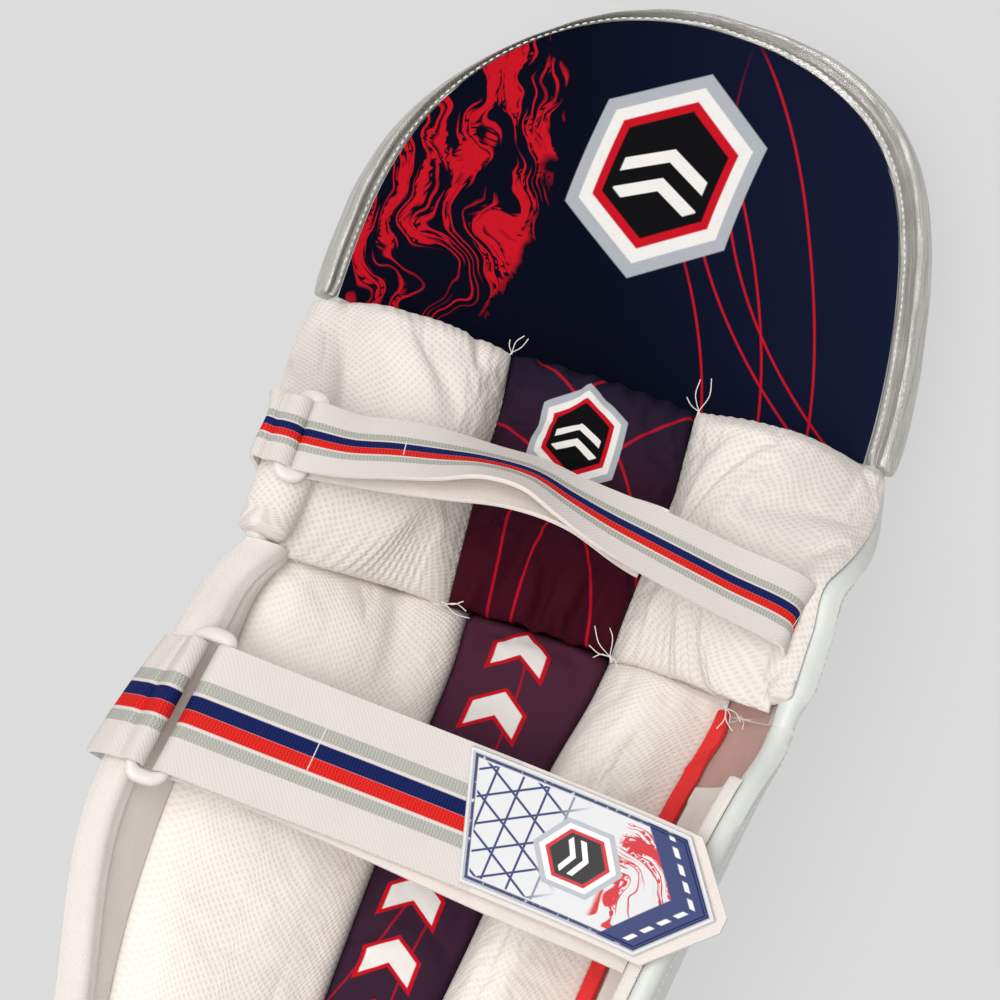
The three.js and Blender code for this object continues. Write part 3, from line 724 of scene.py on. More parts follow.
def use_effect(tree, group, *values):
    node = tree.nodes.new("ShaderNodeGroup")
    node.node_tree = group
    for socket, value in zip(node.inputs, values):
        plug(tree, socket, value)
    return {socket.name: Field(tree, socket) for socket in node.outputs}


@effect("Open Net", "Across", "Along", "Pitch")
def open_net(across, along, pitch):
    slanted = 0.7071
    drift = (noise(at_place(across, along), 24.0) - 0.5) * 0.5
    p = ((across + along) * slanted / pitch + drift).fraction() - 0.5
    q = ((across - along) * slanted / pitch - drift).fraction() - 0.5
    away = maths("POWER", maths("POWER", abs(p), 3.0) + maths("POWER", abs(q), 3.0), 1 / 3)
    return {"Hole": away.below(0.27, 0.1), "Height": away.above(0.28, 0.16)}


@effect("Plain Weave", "Across", "Along", "Pitch")
def plain_weave(across, along, pitch):
    x, y = across / pitch, along / pitch
    column, row = maths("FLOOR", x), maths("FLOOR", y)
    over = maths("PINGPONG", column + row, 1.0)
    warp = maths("SINE", x.fraction() * math.pi)
    weft = maths("SINE", y.fraction() * math.pi)
    return {"Height": warp * over + weft * (1.0 - over)}


@effect("Coated Grain", "Size")
def coated_grain(size):
    place = object_place(size.tree)
    pebble = cells(place, size).below(0.12, 0.12)
    crease = noise(place, size * 5.0, 3.0)
    return {"Height": crease * 1.2 - pebble * 0.6, "Pore": pebble}


@effect("Handling", "Size")
def handling(size):
    return {"Tone": noise(object_place(size.tree), size, 4.0, 0.6).above(0.5, 0.2)}


@effect("Brushed Strokes", "Across", "Along")
def brushed_strokes(across, along):
    place = at_place(across, along)
    bend_x = across + (noise(place, 30.0, 1.5) - 0.5) * 60.0
    bend_y = along + (noise(at_place(along, across, 9.0), 38.0, 1.5) - 0.5) * 50.0
    broad = noise(at_place(bend_x * 0.5 + bend_y * 0.2, bend_y * 0.09 - bend_x * 0.04, 3.0), 4.0, 1.0)
    fine = abs(((bend_x * 0.8 + bend_y * 0.35) / 3.4).fraction() - 0.5).below(0.14, 0.05)
    scale = cells(at_place(bend_x, bend_y * 0.7), 3.2).above(0.13, 0.04)
    body = broad.above(0.52, 0.02)
    shadow = broad.above(0.6, 0.02)
    return {"Stroke": (body * scale).most(shadow).most(fine * broad.above(0.44, 0.03))}


@effect("Hexagon", "Across", "Along")
def hexagon(across, along):
    stretched = 0.84
    x, y = abs(across), abs(along) * stretched
    return {"Away": x.most(x * 0.5 + y * 0.866)}


def new_finish(name, roughness, sheen=0.0, metallic=0.0, specular=0.5):
    material = bpy.data.materials.new(name)
    material.use_nodes = True
    shader = material.node_tree.nodes["Principled BSDF"]
    shader.inputs["Roughness"].default_value = roughness
    shader.inputs["Metallic"].default_value = metallic
    shader.inputs["Specular IOR Level"].default_value = specular
    shader.inputs["Sheen Weight"].default_value = sheen
    return material, material.node_tree, shader


def paint(shader, colour_field):
    plug(colour_field.tree, shader.inputs["Base Color"], colour_field)


def relief(shader, height, depth):
    """Raises a finish by a height field. Each call adds to the one before."""
    tree = height.tree
    bump = tree.nodes.new("ShaderNodeBump")
    bump.inputs["Distance"].default_value = depth
    plug(tree, bump.inputs["Height"], height)
    for link in shader.inputs["Normal"].links:
        tree.links.new(link.from_socket, bump.inputs["Normal"])
    tree.links.new(bump.outputs[0], shader.inputs["Normal"])


def woven(shader, across, along, depth, pitch=None):
    """Raises a plain weave, of the lining cloth's pitch unless another is given in millimetres."""
    weave = use_effect(across.tree, plain_weave(), across, along, pitch or sizes().cloth_pitch / MM)
    relief(shader, weave["Height"], depth)


def handled(tree, ground, size, dark, amount):
    """A colour with clouds of its darker shade, so many metres across."""
    return tint(ground, shade(ground, dark), use_effect(tree, handling(), size)["Tone"] * amount)


def any_of(masks):
    """1 where any of several masks is 1."""
    return reduce(Field.most, masks)


@cache
def facing():
    material, tree, shader = new_finish("facing", 0.36)
    grain = use_effect(tree, coated_grain(), sizes().grain)
    ground = handled(tree, colours().facing, 0.03, 0.9, 0.6)
    paint(shader, tint(ground, shade(colours().facing, 0.8), grain["Pore"] * 0.15))
    relief(shader, noise(object_place(tree), 0.016, 2.0), 0.0008)
    relief(shader, grain["Height"], 0.00006)
    return material


@cache
def backing():
    material, tree, shader = new_finish("backing", 0.9, sheen=0.2)
    across, along = cloth_place(tree)
    paint(shader, handled(tree, colours().backing, 0.02, 0.82, 0.7))
    woven(shader, across, along, 0.0002)
    return material


@cache
def lining():
    material, tree, shader = new_finish("lining", 0.8, sheen=0.15)
    across, along = cloth_place(tree)
    paint(shader, handled(tree, colours().lining, 0.035, 0.9, 0.5))
    relief(shader, noise(at_place(across, along * 0.35), 16.0, 2.0), 0.0016)
    woven(shader, across, along, 0.00012)
    return material


@cache
def net(pitch_share, painted_light, hole_shade_share):
    """Mesh cloth. The shares set its holes' pitch and how far they show, against the usual cloth. The holes
    are darker partly as the ground seen through them and partly as painted shade in them, and painted_light
    darkens or lightens the whole cloth as painted shade or painted light.
    """
    material, tree, shader = new_finish(f"net_{round(pitch_share * 100)}", 0.85, sheen=0.15)
    across, along = cloth_place(tree)
    holes = use_effect(tree, open_net(), across, along, sizes().net_pitch / MM * pitch_share)
    strand = handled(tree, shade(colours().net, painted_light), 0.03, 0.92, 0.5)
    # The holes are painted darker, partly the ground's own colour and partly painted shade.
    paint(shader, tint(strand, shade(colours().net_hole, painted_light), holes["Hole"] * hole_shade_share))
    relief(shader, holes["Height"], 0.00016)
    return material


def satin(name):
    """A smooth printed cloth with a fine weave: its tree, shader and places on the cloth."""
    material, tree, shader = new_finish(name, 0.7, specular=0.03)
    across, along = cloth_place(tree)
    relief(shader, noise(at_place(across, along), 22.0, 2.0), 0.0016)
    woven(shader, across, along, 0.0001)
    return material, tree, shader, across, along


def badge(tree, ground, across, along, half_width):
    """A plain six-sided badge in rings of grey, white, red and black, with two chevrons in its middle."""
    drawn_half_width = 36.0
    scale = drawn_half_width / half_width
    x, y = across * scale, along * scale
    away = use_effect(tree, hexagon(), x, y)["Away"]
    ring = ground
    grey, white, red, black = colours().grey, colours().white, colours().red, colours().black
    for limit, layer in ((drawn_half_width, grey), (31, white), (26, red), (22.5, black)):
        ring = tint(ring, layer, away.below(limit, 0.3))
    rise = y + abs(x) * 0.55
    chevrons = abs(rise - 9.0).below(3.2) + abs(rise + 5.0).below(3.2)
    return tint(ring, white, chevrons * away.below(18.5, 0.3))


def arcs(across, along, half_width, *circles):
    """Long thin curved lines, each from the middle and radius of a circle."""
    lines = []
    for x, y, radius in circles:
        away = maths("SQRT", (across - x) * (across - x) + (along - y) * (along - y))
        lines.append(abs(away - radius).below(half_width))
    return any_of(lines)


@cache
def flap_print():
    material, tree, shader, across, along = satin("flap_print")
    tone = use_effect(tree, handling(), 0.05)["Tone"]
    # Painted sheen: the navy lightens towards the flap's right and upper edges, standing in for light on the
    # satin, with a ragged edge from the handling clouds.
    light = (across + along * 0.5 + tone * 12.0).above(78.0, 70.0)
    ground = tint(colours().navy, colours().navy_sheen, light)
    stroke = use_effect(tree, brushed_strokes(), across, along)["Stroke"]
    ragged = (noise(at_place(across, along), 16.0) - 0.5) * 34.0
    reach = across + (along - 62.0) * (along - 62.0) * 0.0035 + ragged
    ground = tint(ground, colours().red, stroke * reach.below(-48.0, 2.5))
    lines = arcs(
        across, along, 0.45, (-150, -40, 196), (-165, -30, 232), (-175, -25, 262),
        (240, 190, 236), (250, 215, 270),
    )
    ground = tint(ground, colours().red, lines * across.above(14.0, 8.0))
    paint(shader, badge(tree, ground, across + 4.0, along - 97.0, 34.0))
    return material


@cache
def knee_print():
    material, tree, shader, across, along = satin("knee_print")
    ground = tint(colours().plum, colours().dusk, along.above(58.0, 40.0))
    ground = tint(ground, colours().navy, along.above(98.0, 16.0) * 0.8)
    lines = arcs(across, along, 0.5, (-70, -20, 96), (-84, -10, 124), (96, 10, 104), (110, 30, 130))
    ground = tint(ground, colours().red, lines * 0.8)
    paint(shader, badge(tree, ground, across + 4.3, along - 71.0, 17.0))
    return material


@cache
def shin_print():
    material, tree, shader, across, along = satin("shin_print")
    tone = use_effect(tree, handling(), 0.05)["Tone"]
    ground = tint(colours().plum_dark, colours().plum_light, (along + tone * 30.0).above(320.0, 80.0))
    lines = arcs(across, along, 0.4, (-260, 60, 268), (250, 200, 244), (-250, 300, 256))
    ground = tint(ground, colours().red, lines * 0.7)
    side = abs(across)
    pitch = 26.0
    from_middle = abs(((along + side * 0.7) / pitch).fraction() * pitch - 10.0)
    ground = tint(ground, colours().red, from_middle.below(6.6) * side.below(11.5))
    paint(shader, tint(ground, colours().white, from_middle.below(4.8) * side.below(9.8)))
    return material


@cache
def silver():
    """Coated foil with creases that run along the piping. Darker streaks along the creases stand in as
    painted dark reflections, and the gutter beside the seam is darkened as painted shade.
    """
    material, tree, shader = new_finish("silver", 0.33, metallic=0.7)
    across, along = cloth_place(tree)
    grain = use_effect(tree, coated_grain(), sizes().grain * 0.7)
    creases_and_painted_reflections = noise(at_place(along, across * 0.06), 1.6, 3.0, 0.6)
    tone = use_effect(tree, handling(), 0.012)["Tone"]
    # Painted reflections: darker streaks along the creases stand in for the dark reflections of the foil; the
    # same noise also raises the creases.
    ground = tint(colours().silver, shade(colours().silver, 0.55), creases_and_painted_reflections.above(0.52, 0.1) * 0.8)
    ground = tint(ground, shade(colours().silver, 0.75), tone * 0.5)
    # Painted shade: the gutter between the stitched band and the roll is darkened where shade falls in the
    # groove.
    painted_gutter_shade = along.above(3.0, 0.6) * along.below(5.6, 1.0)
    ground = tint(ground, shade(colours().silver, 0.4), painted_gutter_shade * 0.8)
    paint(shader, tint(ground, shade(colours().silver, 0.45), grain["Pore"] * 0.4))
    relief(shader, creases_and_painted_reflections, 0.0004)
    relief(shader, grain["Height"], 0.00015)
    return material


@cache
def tape():
    material, tree, shader = new_finish("tape", 0.7, sheen=0.2)
    across, along = cloth_place(tree)
    paint(shader, handled(tree, colours().tape, 0.01, 0.72, 0.5))
    woven(shader, across, along, 0.00006, 0.7)
    return material


@cache
def webbing(width):
    """Striped strap webbing. Its UV map holds the share across and the metres along."""
    material, tree, shader = new_finish(f"webbing_{width}", 0.8, specular=0.2)
    across, along = cloth_place(tree)
    share = 0.5 - across * MM
    x = across * (MM * width)
    grey, navy, red = colours().strap_grey, colours().strap_navy, colours().strap_red
    stripes = (
        (0.29, 0.385, grey, colours().strap, 0.35), (0.41, 0.52, navy, shade(navy, 0.2), 0.75),
        (0.52, 0.625, red, shade(red, 0.35), 0.6), (0.65, 0.74, grey, colours().strap, 0.35),
    )
    pitch = sizes().weave_pitch / MM
    twill = maths("SINE", (x * 0.8 + along) * (2 * math.pi / pitch * 0.8))
    rib = maths("SINE", (along + maths("PINGPONG", x, 0.9) * 0.7) * (2 * math.pi / pitch))
    ground = handled(tree, colours().strap, 0.02, 0.93, 0.6)
    ground = tint(ground, shade(colours().strap, 0.7), twill.below(-0.3, 0.6) * 0.14)
    bands = []
    for start, end, layer, between, amount in stripes:
        bands.append(abs(share - (start + end) / 2).below((end - start) / 2, 0.004))
        ground = tint(ground, tint(layer, between, rib.below(-0.1, 0.6) * amount), bands[-1])
    ribbed = any_of(bands)
    paint(shader, ground)
    relief(shader, twill * (1.0 - ribbed) * 0.5 + rib * ribbed, 0.0001)
    return material


@cache
def webbing_back():
    """The brushed plain back of the webbing."""
    material, tree, shader = new_finish("webbing_back", 0.9, sheen=0.3)
    fluff = noise(object_place(tree), 0.0007, 3.0)
    paint(shader, handled(tree, colours().strap_back, 0.008, 0.88, 0.5))
    relief(shader, fluff, 0.0003)
    return material


@cache
def plastic():
    material, tree, shader = new_finish("plastic", 0.32)
    paint(shader, handled(tree, colours().plastic, 0.006, 0.93, 0.5))
    relief(shader, noise(object_place(tree), 0.0008), 0.00004)
    return material


@cache
def rubber():
    """The patch. Its UV map holds millimetres along it from its slanted end, and across from its middle."""
    material, tree, shader = new_finish("rubber", 0.5)
    across, along = cloth_place(tree)
    half = STRAPS["calf"]["width"] / 2 - PATCH_MARGIN
    from_start = along - (half - across) * (PATCH_SLANT / (2 * half))
    slope = POINT_LENGTH / half
    from_tip = (PATCH_LENGTH - along - abs(across) * slope) / math.hypot(1, slope)
    inside = (half - abs(across)).least(from_start).least(from_tip)
    ground = handled(tree, colours().rubber, 0.01, 0.92, 0.6)
    stroke = use_effect(tree, brushed_strokes(), across * 1.5 + 70.0, along * 1.5)["Stroke"]
    ground = tint(ground, colours().red, stroke * along.above(64.0, 1.0) * inside.above(4.5))
    lattice = any_of(
        abs((along * run + across * rise + 0.3).fraction() - 0.5).below(0.045, 0.012)
        for run, rise in ((0.1, 0.0), (0.05, 0.087), (-0.05, 0.087))
    )
    ground = tint(ground, colours().ink, lattice * along.below(44.0, 6.0) * inside.above(3.4))
    ground = badge(tree, ground, across, along - 52.0, 13.0)
    tip = from_tip.below(13.0) * inside.above(1.4)
    ground = tint(ground, colours().ink, tip)
    dashes = abs(from_tip - 6.5).below(0.8) * (across / 5.0).fraction().below(0.6, 0.05)
    ground = tint(ground, colours().white, dashes * tip)
    border = abs(inside - 2.2).below(0.55)
    worn = noise(at_place(across, along), 2.2, 3.0).above(0.36, 0.05)
    paint(shader, tint(ground, colours().ink, border * worn))
    relief(shader, border + inside.below(1.1, 0.3), 0.0005)
    relief(shader, noise(at_place(across, along), 0.7), 0.00006)
    return material


@cache
def thread(name):
    """Sewing thread. The name is that of its colour."""
    material, tree, shader = new_finish(name, 0.7, sheen=0.2)
    paint(shader, handled(tree, getattr(colours(), name), 0.004, 0.85, 1.0))
    return material


# Pieces


def keep_flat(across, along):
    """A cloth map from two grids of millimetres."""
    return np.stack(np.broadcast_arrays(across, along), axis=-1).astype(float)


def add_shell():
    rounding = 3.0
    columns, layers = 120, 4
    thickening = 0.16  # share of the knee's wall over which it grows from the shin's thickness
    toe = SHELL(TOE)

    def knee_outside(v):
        return -mix(SHIN_WALL - 0.5, KNEE_WALL, ease(v, 0, thickening))

    # name, lower edge, upper edge, lift of the outside, rows, and where the backing shows
    walls = (
        (
            "shin", lambda u: toe_at(mix(-toe["left"], toe["right"], u)) + rounding,
            lambda u: knee_edge_at(u) - GAP, lambda v: -SHIN_WALL, 180, (4, 4, 180),
        ),
        ("knee", knee_edge_at, lambda u: FLAP_BASE + 0 * u, knee_outside, 60, (6, 0, 60)),
    )
    for name, low_at, high_at, outside, rows, backed in walls:

        def shell(lift):
            def surface(u, v):
                y = mix(low_at(u), high_at(u), v)
                section = SHELL(y)
                s = mix(rounding - section["left"], section["right"] - rounding, u)
                return on_section(section, y, s, lift(v))

            return grid_of(columns, rows, surface)

        shape = wall(shell(lambda v: 0), shell(outside), layers, rounding, inner=backed)
        add_piece(f"{name}_shell_cover", shape, [facing(), backing()], [f"{name}_shell"])


def flap_outline(t, grow):
    """The flap's outline as a place on its bed, grown outwards: 0 is its left corner and 1 its right one."""
    angle = np.pi * (1 - t)
    power = 2 / FLAP_ROUNDNESS
    across = np.sign(np.cos(angle)) * np.abs(np.cos(angle)) ** power
    up = np.abs(np.sin(angle)) ** power
    return (FLAP_HALF_WIDTH + grow) * across, FLAP_BASE + GAP + (FLAP_HEIGHT + grow) * up


def left_edge(t):
    """1 along the flap's left edge and 0 along its right one."""
    return 1 - ease(t, 0.45, 0.62)


# Round the piping: how far out from the flap's outline, and lift. A hollow band is followed by a full roll.
PIPING_PROFILE = [
    (0.4, -0.8), (2.0, 0.1), (3.3, -1.0), (4.6, -1.9), (6.0, -0.4), (7.8, 1.6), (9.8, 0.4), (11.0, -3),
    (10.8, -8.5), (8.5, -12.2), (3.5, -12.8), (0.6, -11.5), (0.4, -6), (0.4, -0.8),
]
PIPING_INNER = 0.4
PIPING_OUTER = 11.0
NARROWING = 5.4
NARROWEST_AT = 0.29
NARROW_STRETCH = 0.13


def piping_start(t):
    return PIPING_INNER + LINING_REACH * left_edge(t)


def piping_grow(t, reach):
    """How far a place on the piping's profile is out from the flap's outline. It narrows at upper left."""
    start = piping_start(t)
    narrow = NARROWING * np.exp(-(((t - NARROWEST_AT) / NARROW_STRETCH) ** 2))
    return start + (reach - PIPING_INNER) * (PIPING_OUTER - narrow - start) / (PIPING_OUTER - PIPING_INNER)


def piping_wobble(t):
    """Small rises and falls along the piping."""
    return 0.35 * np.sin(t * 57) + 0.25 * np.sin(t * 131 + 2)


def add_flap():
    columns, rows = 100, 90
    top_row = 0.495  # just short of the outline's middle, so that the top row isn't a point
    crown_height = 3

    def bed(u, v):
        t = v * top_row
        left_s, left_y = flap_outline(t, LINING_REACH * left_edge(t))
        right_s, right_y = flap_outline(1 - t, LINING_REACH * left_edge(1 - t))
        return mix(left_s, right_s, u), mix(left_y, right_y, u)

    def flap(lift_at):
        def surface(u, v):
            s, y = bed(u, v)
            return on_flap(y, s, lift_at(u, v))

        return grid_of(columns, rows, surface)

    def cloth(u, v):
        s, y = bed(u, v)
        return keep_flat(s, y - FLAP_BASE)

    face = flap(lambda u, v: crown_height * crown(u, 0, 0, 4) * crown(v, 0.6, 0, 3))
    back = flap(lambda u, v: -FLAP_PADDING + 0 * u)
    shape = wall(face, back, layers=2, flat=grid_of(columns, rows, cloth), inner=(0, 0, rows))
    add_piece("thigh_flap_cover", shape, [facing(), flap_print()], ["thigh_flap"])


def add_piping():
    steps_round, steps_along = 44, 240
    end_share, end_size = 0.008, 0.75
    profile = smooth_line(PIPING_PROFILE, steps_round)
    t = (0.5 - 0.5 * np.cos(np.pi * np.linspace(0, 1, steps_along + 1)))[:, None]
    from_end = np.clip(np.minimum(t, 1 - t) / end_share, 0, 1)
    size = mix(end_size, 1, np.sqrt(1 - (1 - from_end) ** 2))
    middle = (piping_start(t) + PIPING_OUTER) / 2
    grow = mix(middle, piping_grow(t, profile[None, :, 0]), size)
    lift = mix(-FLAP_PADDING / 2, profile[None, :, 1], size)
    s, y = flap_outline(t, grow)
    piping = on_flap(y, s, lift + piping_wobble(t))
    add_piece("flap_piping", rolled(piping), silver(), ["flap_binding"])


def front_pad(name, surface, base, place, thickness, columns, rows):
    """A rib or roll on the front: a half-round pad under the wall, flattened where it lies on the floor."""

    def at(thick):
        def point(u, v):
            s, y = place(u, v)
            points = surface(y, s, -base - BED_GAP - thick(u, v))
            points[..., 2] = np.maximum(points[..., 2], OFF_FLOOR)
            return points

        return grid_of(columns, rows, point)

    shape = wall(at(thickness), at(lambda u, v: 0 * u), layers=2, rim=0.6)
    add_piece(f"{name}_cover", shape, facing(), [name])


def add_shin_ribs():
    count, reach, share, thick = 7, 0.85, 0.96, 13
    top, inset = KNEE_BASE - 12, 5

    def front_half(y):
        section = SHELL(y)
        return section["flat"] + reach * section["bend"]

    for rib in range(1, count + 1):

        def place(u, v):
            across = (2 * rib - count - 1 + mix(-share, share, u)) / count
            y = mix(toe_at(across * front_half(TOE)) + inset, top, v)
            return across * front_half(y), y

        front_pad(
            f"shin_rib_{rib}", on_shell, SHIN_WALL, place,
            lambda u, v: thick * crown(u, 0.15, 0.15, 2.4) * crown(v, 0.4, 0.4, 12), 16, 90,
        )


def add_knee_rolls():
    first, pitch, reach, thick = KNEE_BASE + 3, 31, 0.8, 22
    for roll, name in enumerate(("lower", "middle", "upper")):
        low = first + roll * pitch

        def place(u, v):
            y = mix(low, low + pitch - GAP, v)
            section = SHELL(y)
            return mix(-section["left"], section["right"], u) * reach, y

        front_pad(
            f"knee_roll_{name}", on_shell, KNEE_WALL, place,
            lambda u, v: thick * crown(u, 0.12, 0.12, 6) * crown(v, 0.12, 0.12, 2.2), 70, 20,
        )


def add_flap_ribs():
    count, pitch, half, thick = 5, 34, 16, 8
    low, below_edge = FLAP_BASE + 4, 14
    for rib in range(1, count + 1):
        middle = (rib - (count + 1) / 2) * pitch

        def place(u, v):
            s = middle + mix(-half, half, u)
            share = 1 - (np.abs(s) / FLAP_HALF_WIDTH) ** FLAP_ROUNDNESS
            over = FLAP_HEIGHT * share ** (1 / FLAP_ROUNDNESS)
            return s, mix(low, FLAP_BASE + over - below_edge, v)

        front_pad(
            f"flap_rib_{rib}", on_flap, FLAP_PADDING, place,
            lambda u, v: thick * crown(u, 0.15, 0.15, 2.4) * crown(v, 0.2, 0.2, 6), 16, 50,
        )


# How a cushion's cover goes over the knee rim: distance past the rim and lift off the shell's inner face.
OVER_RIM = {
    "left": [(-9, -13.2), (0.5, -13.2), (3.6, -9.6), (4.8, -4.8), (4.4, 1.5), (1.6, 6.5)],
    "right": [(0.9, -4.4), (1.4, -3.2), (1.5, -1.2), (1.2, 1), (0, 3.2), (-2, 5)],
}
RIM_SWELL = {"left": 1.3, "right": 0}


def over_rim(face, base, s, high, y, name, fade):
    """Columns that take a cushion's cover on over the knee rim, as a thin sheet that starts outside."""
    steps, thick = 14, 0.8
    swell_length, least_fade = 12, 0.03
    side = -1 if name == "left" else 1
    edge = SHELL(y)[name]
    swell = 1 + RIM_SWELL[name] * np.exp(-(y - y.min()) / swell_length)
    fade = np.maximum(fade, least_fade)
    into_cushion = ease(np.linspace(0, 1, steps + 1), 0.7, 1)[:, None]
    outer, inner = [], []
    for row in range(len(y)):
        at_cushion = abs(s[row]) - edge[row]
        path = smooth_line([*OVER_RIM[name], (at_cushion, high[row])], steps)
        path[:, 0] *= np.where(path[:, 0] > 0, swell[row], 1)
        way = unit(np.gradient(path, axis=0))
        under = path + thick * np.stack([-way[:, 1], way[:, 0]], axis=-1)
        under = mix(under, [at_cushion, BED_GAP], into_cushion)
        for points, line in ((outer, path), (inner, under)):
            line = mix(line[-1], line, fade[row])
            points.append(on_shell(y[row] + 0 * line[:, 0], side * (edge[row] + line[:, 0]), line[:, 1]))
    outer, inner = np.swapaxes(outer, 0, 1)[:-1], np.swapaxes(inner, 0, 1)[:-1]
    if side < 0:
        return np.concatenate([outer, face]), np.concatenate([inner, base])
    return np.concatenate([face, outer[::-1]]), np.concatenate([base, inner[::-1]])


def finer(grid, axis):
    """A grid with a smooth point added between each two along an axis."""
    grid = np.moveaxis(grid, axis, 0)
    ends = np.concatenate([grid[:1], grid, grid[-1:]])
    result = np.empty((2 * len(grid) - 1, *grid.shape[1:]))
    result[::2] = grid
    result[1::2] = (9 * (ends[1:-2] + ends[2:-1]) - ends[:-3] - ends[3:]) / 16
    return np.moveaxis(result, 0, axis)


def puffed(face, slack):
    """Blows a cover up against its seams by a cloth simulation on every other point of its grid."""
    scene = bpy.context.scene
    coarse = face[::2, ::2]
    columns, rows = coarse.shape[0] - 1, coarse.shape[1] - 1
    sheet = new_block(columns, rows, 0)
    column, row, _ = block_places(sheet)
    set_places(sheet, coarse[column, row])
    mesh = to_mesh("cover", sheet)
    piece = add_object("cover", mesh)
    pins = 1 - ease(np.minimum.reduce([column, columns - column, row, rows - row]), 0, 2)
    group = piece.vertex_groups.new(name="seams")
    for weight in np.unique(pins):
        group.add(np.flatnonzero(pins == weight).tolist(), float(weight), "REPLACE")
    cloth = piece.modifiers.new("cover", "CLOTH")
    cloth.settings.quality = 5
    cloth.settings.mass = 0.2
    cloth.settings.tension_stiffness = 14
    cloth.settings.compression_stiffness = 14
    cloth.settings.shear_stiffness = 4
    cloth.settings.bending_stiffness = 0.3
    cloth.settings.use_pressure = True
    cloth.settings.uniform_pressure_force = sizes().cover_pressure
    cloth.settings.shrink_min = -slack
    cloth.settings.effector_weights.gravity = 0
    cloth.settings.vertex_group_mass = group.name
    cloth.collision_settings.use_collision = False
    cloth.point_cache.frame_start = 1
    cloth.point_cache.frame_end = PUFF_FRAMES
    for step in range(1, PUFF_FRAMES + 1):
        scene.frame_set(step)
    result = piece.evaluated_get(bpy.context.evaluated_depsgraph_get()).data
    points = np.empty(len(result.vertices) * 3)
    result.vertices.foreach_get("co", points)
    move = np.zeros_like(coarse)
    move[column, row] = points.reshape(-1, 3) / MM - ORIGIN - coarse[column, row]
    bpy.data.objects.remove(piece)
    bpy.data.meshes.remove(mesh)
    scene.frame_set(1)
    length = np.linalg.norm(move, axis=-1, keepdims=True)
    move *= np.minimum(1, PUFF_CAP / np.maximum(length, 1e-9))
    return face + finer(finer(move, 0), 1)


def smoothed(grid, reach):
    """A grid with each point set to the mean of those around it, and its edges kept in line."""
    for axis in (0, 1):
        line = np.moveaxis(grid, axis, 0)
        low = 2 * line[:1] - line[reach:0:-1]
        high = 2 * line[-1:] - line[-2:-reach - 2:-1]
        run = np.cumsum(np.concatenate([0 * line[:1], low, line, high]), axis=0)
        width = 2 * reach + 1
        grid = np.moveaxis((run[width:] - run[:-width]) / width, 0, axis)
    return grid


def filling_lumps(s, y, fill):
    """Slow rises and falls of a cushion's filling, which differ from one fill to another."""
    broad = 0.9 * np.sin(s / 17 + y / 29 + fill * 40) * np.sin(y / 23 - s / 41)
    return broad + 0.4 * np.sin(s / 9 - y / 13)


def add_cushion(
    name, material, slot, place, height, grid_size, rounding, deepest, fill, slack,
    side=None, fade=None, hang=0,
):
    """A cushion on the bed of the shell. Its edges round off, but drop no more than the deepest of each pair.
    With a side, its cover goes on over the rim there. It hangs over its lower edge by up to half of hang."""
    thinnest = 2.5
    hang_reach = 2.5
    columns, rows = grid_size
    u, v = np.meshgrid(np.linspace(0, 1, columns + 1), np.linspace(0, 1, rows + 1), indexing="ij")
    s, y = place(u, v)
    width = np.abs(s[-1] - s[0])[None, :]
    length = np.abs(y[:, -1] - y[:, 0])[:, None]
    high = np.maximum(thinnest, height(u, v) - dent_depth(name, s, y))
    distances = (u * width, (1 - u) * width, v * length, (1 - v) * length)
    for distance, radius, most in zip(distances, rounding, np.repeat(deepest, 2)):
        reach = radius(u, v) if callable(radius) else radius
        if np.any(reach):
            high = high - np.minimum(edge_drop(distance, np.maximum(reach, 0.1)), most)
    high = np.maximum(high + filling_lumps(s, y, fill) * ease(high, 4, 14), thinnest)
    from_low = v * length / hang_reach
    face = on_shell(y - hang * from_low * np.exp(1 - from_low), s, high)
    base = on_shell(y, s, BED_GAP)
    flat = keep_flat(s, y - y.min())
    if side:
        column = 0 if side == "left" else -1
        face, base = over_rim(face, base, s[column], high[column], y[column], side, fade(v[column]))
    if slot == "mesh":
        flat = smoothed(flat_lengths(face), 6)
    shape = wall(puffed(face, slack), base, layers=3, flat=flat)
    add_piece(f"{name}_cover", shape, material, [name], sharp=80)


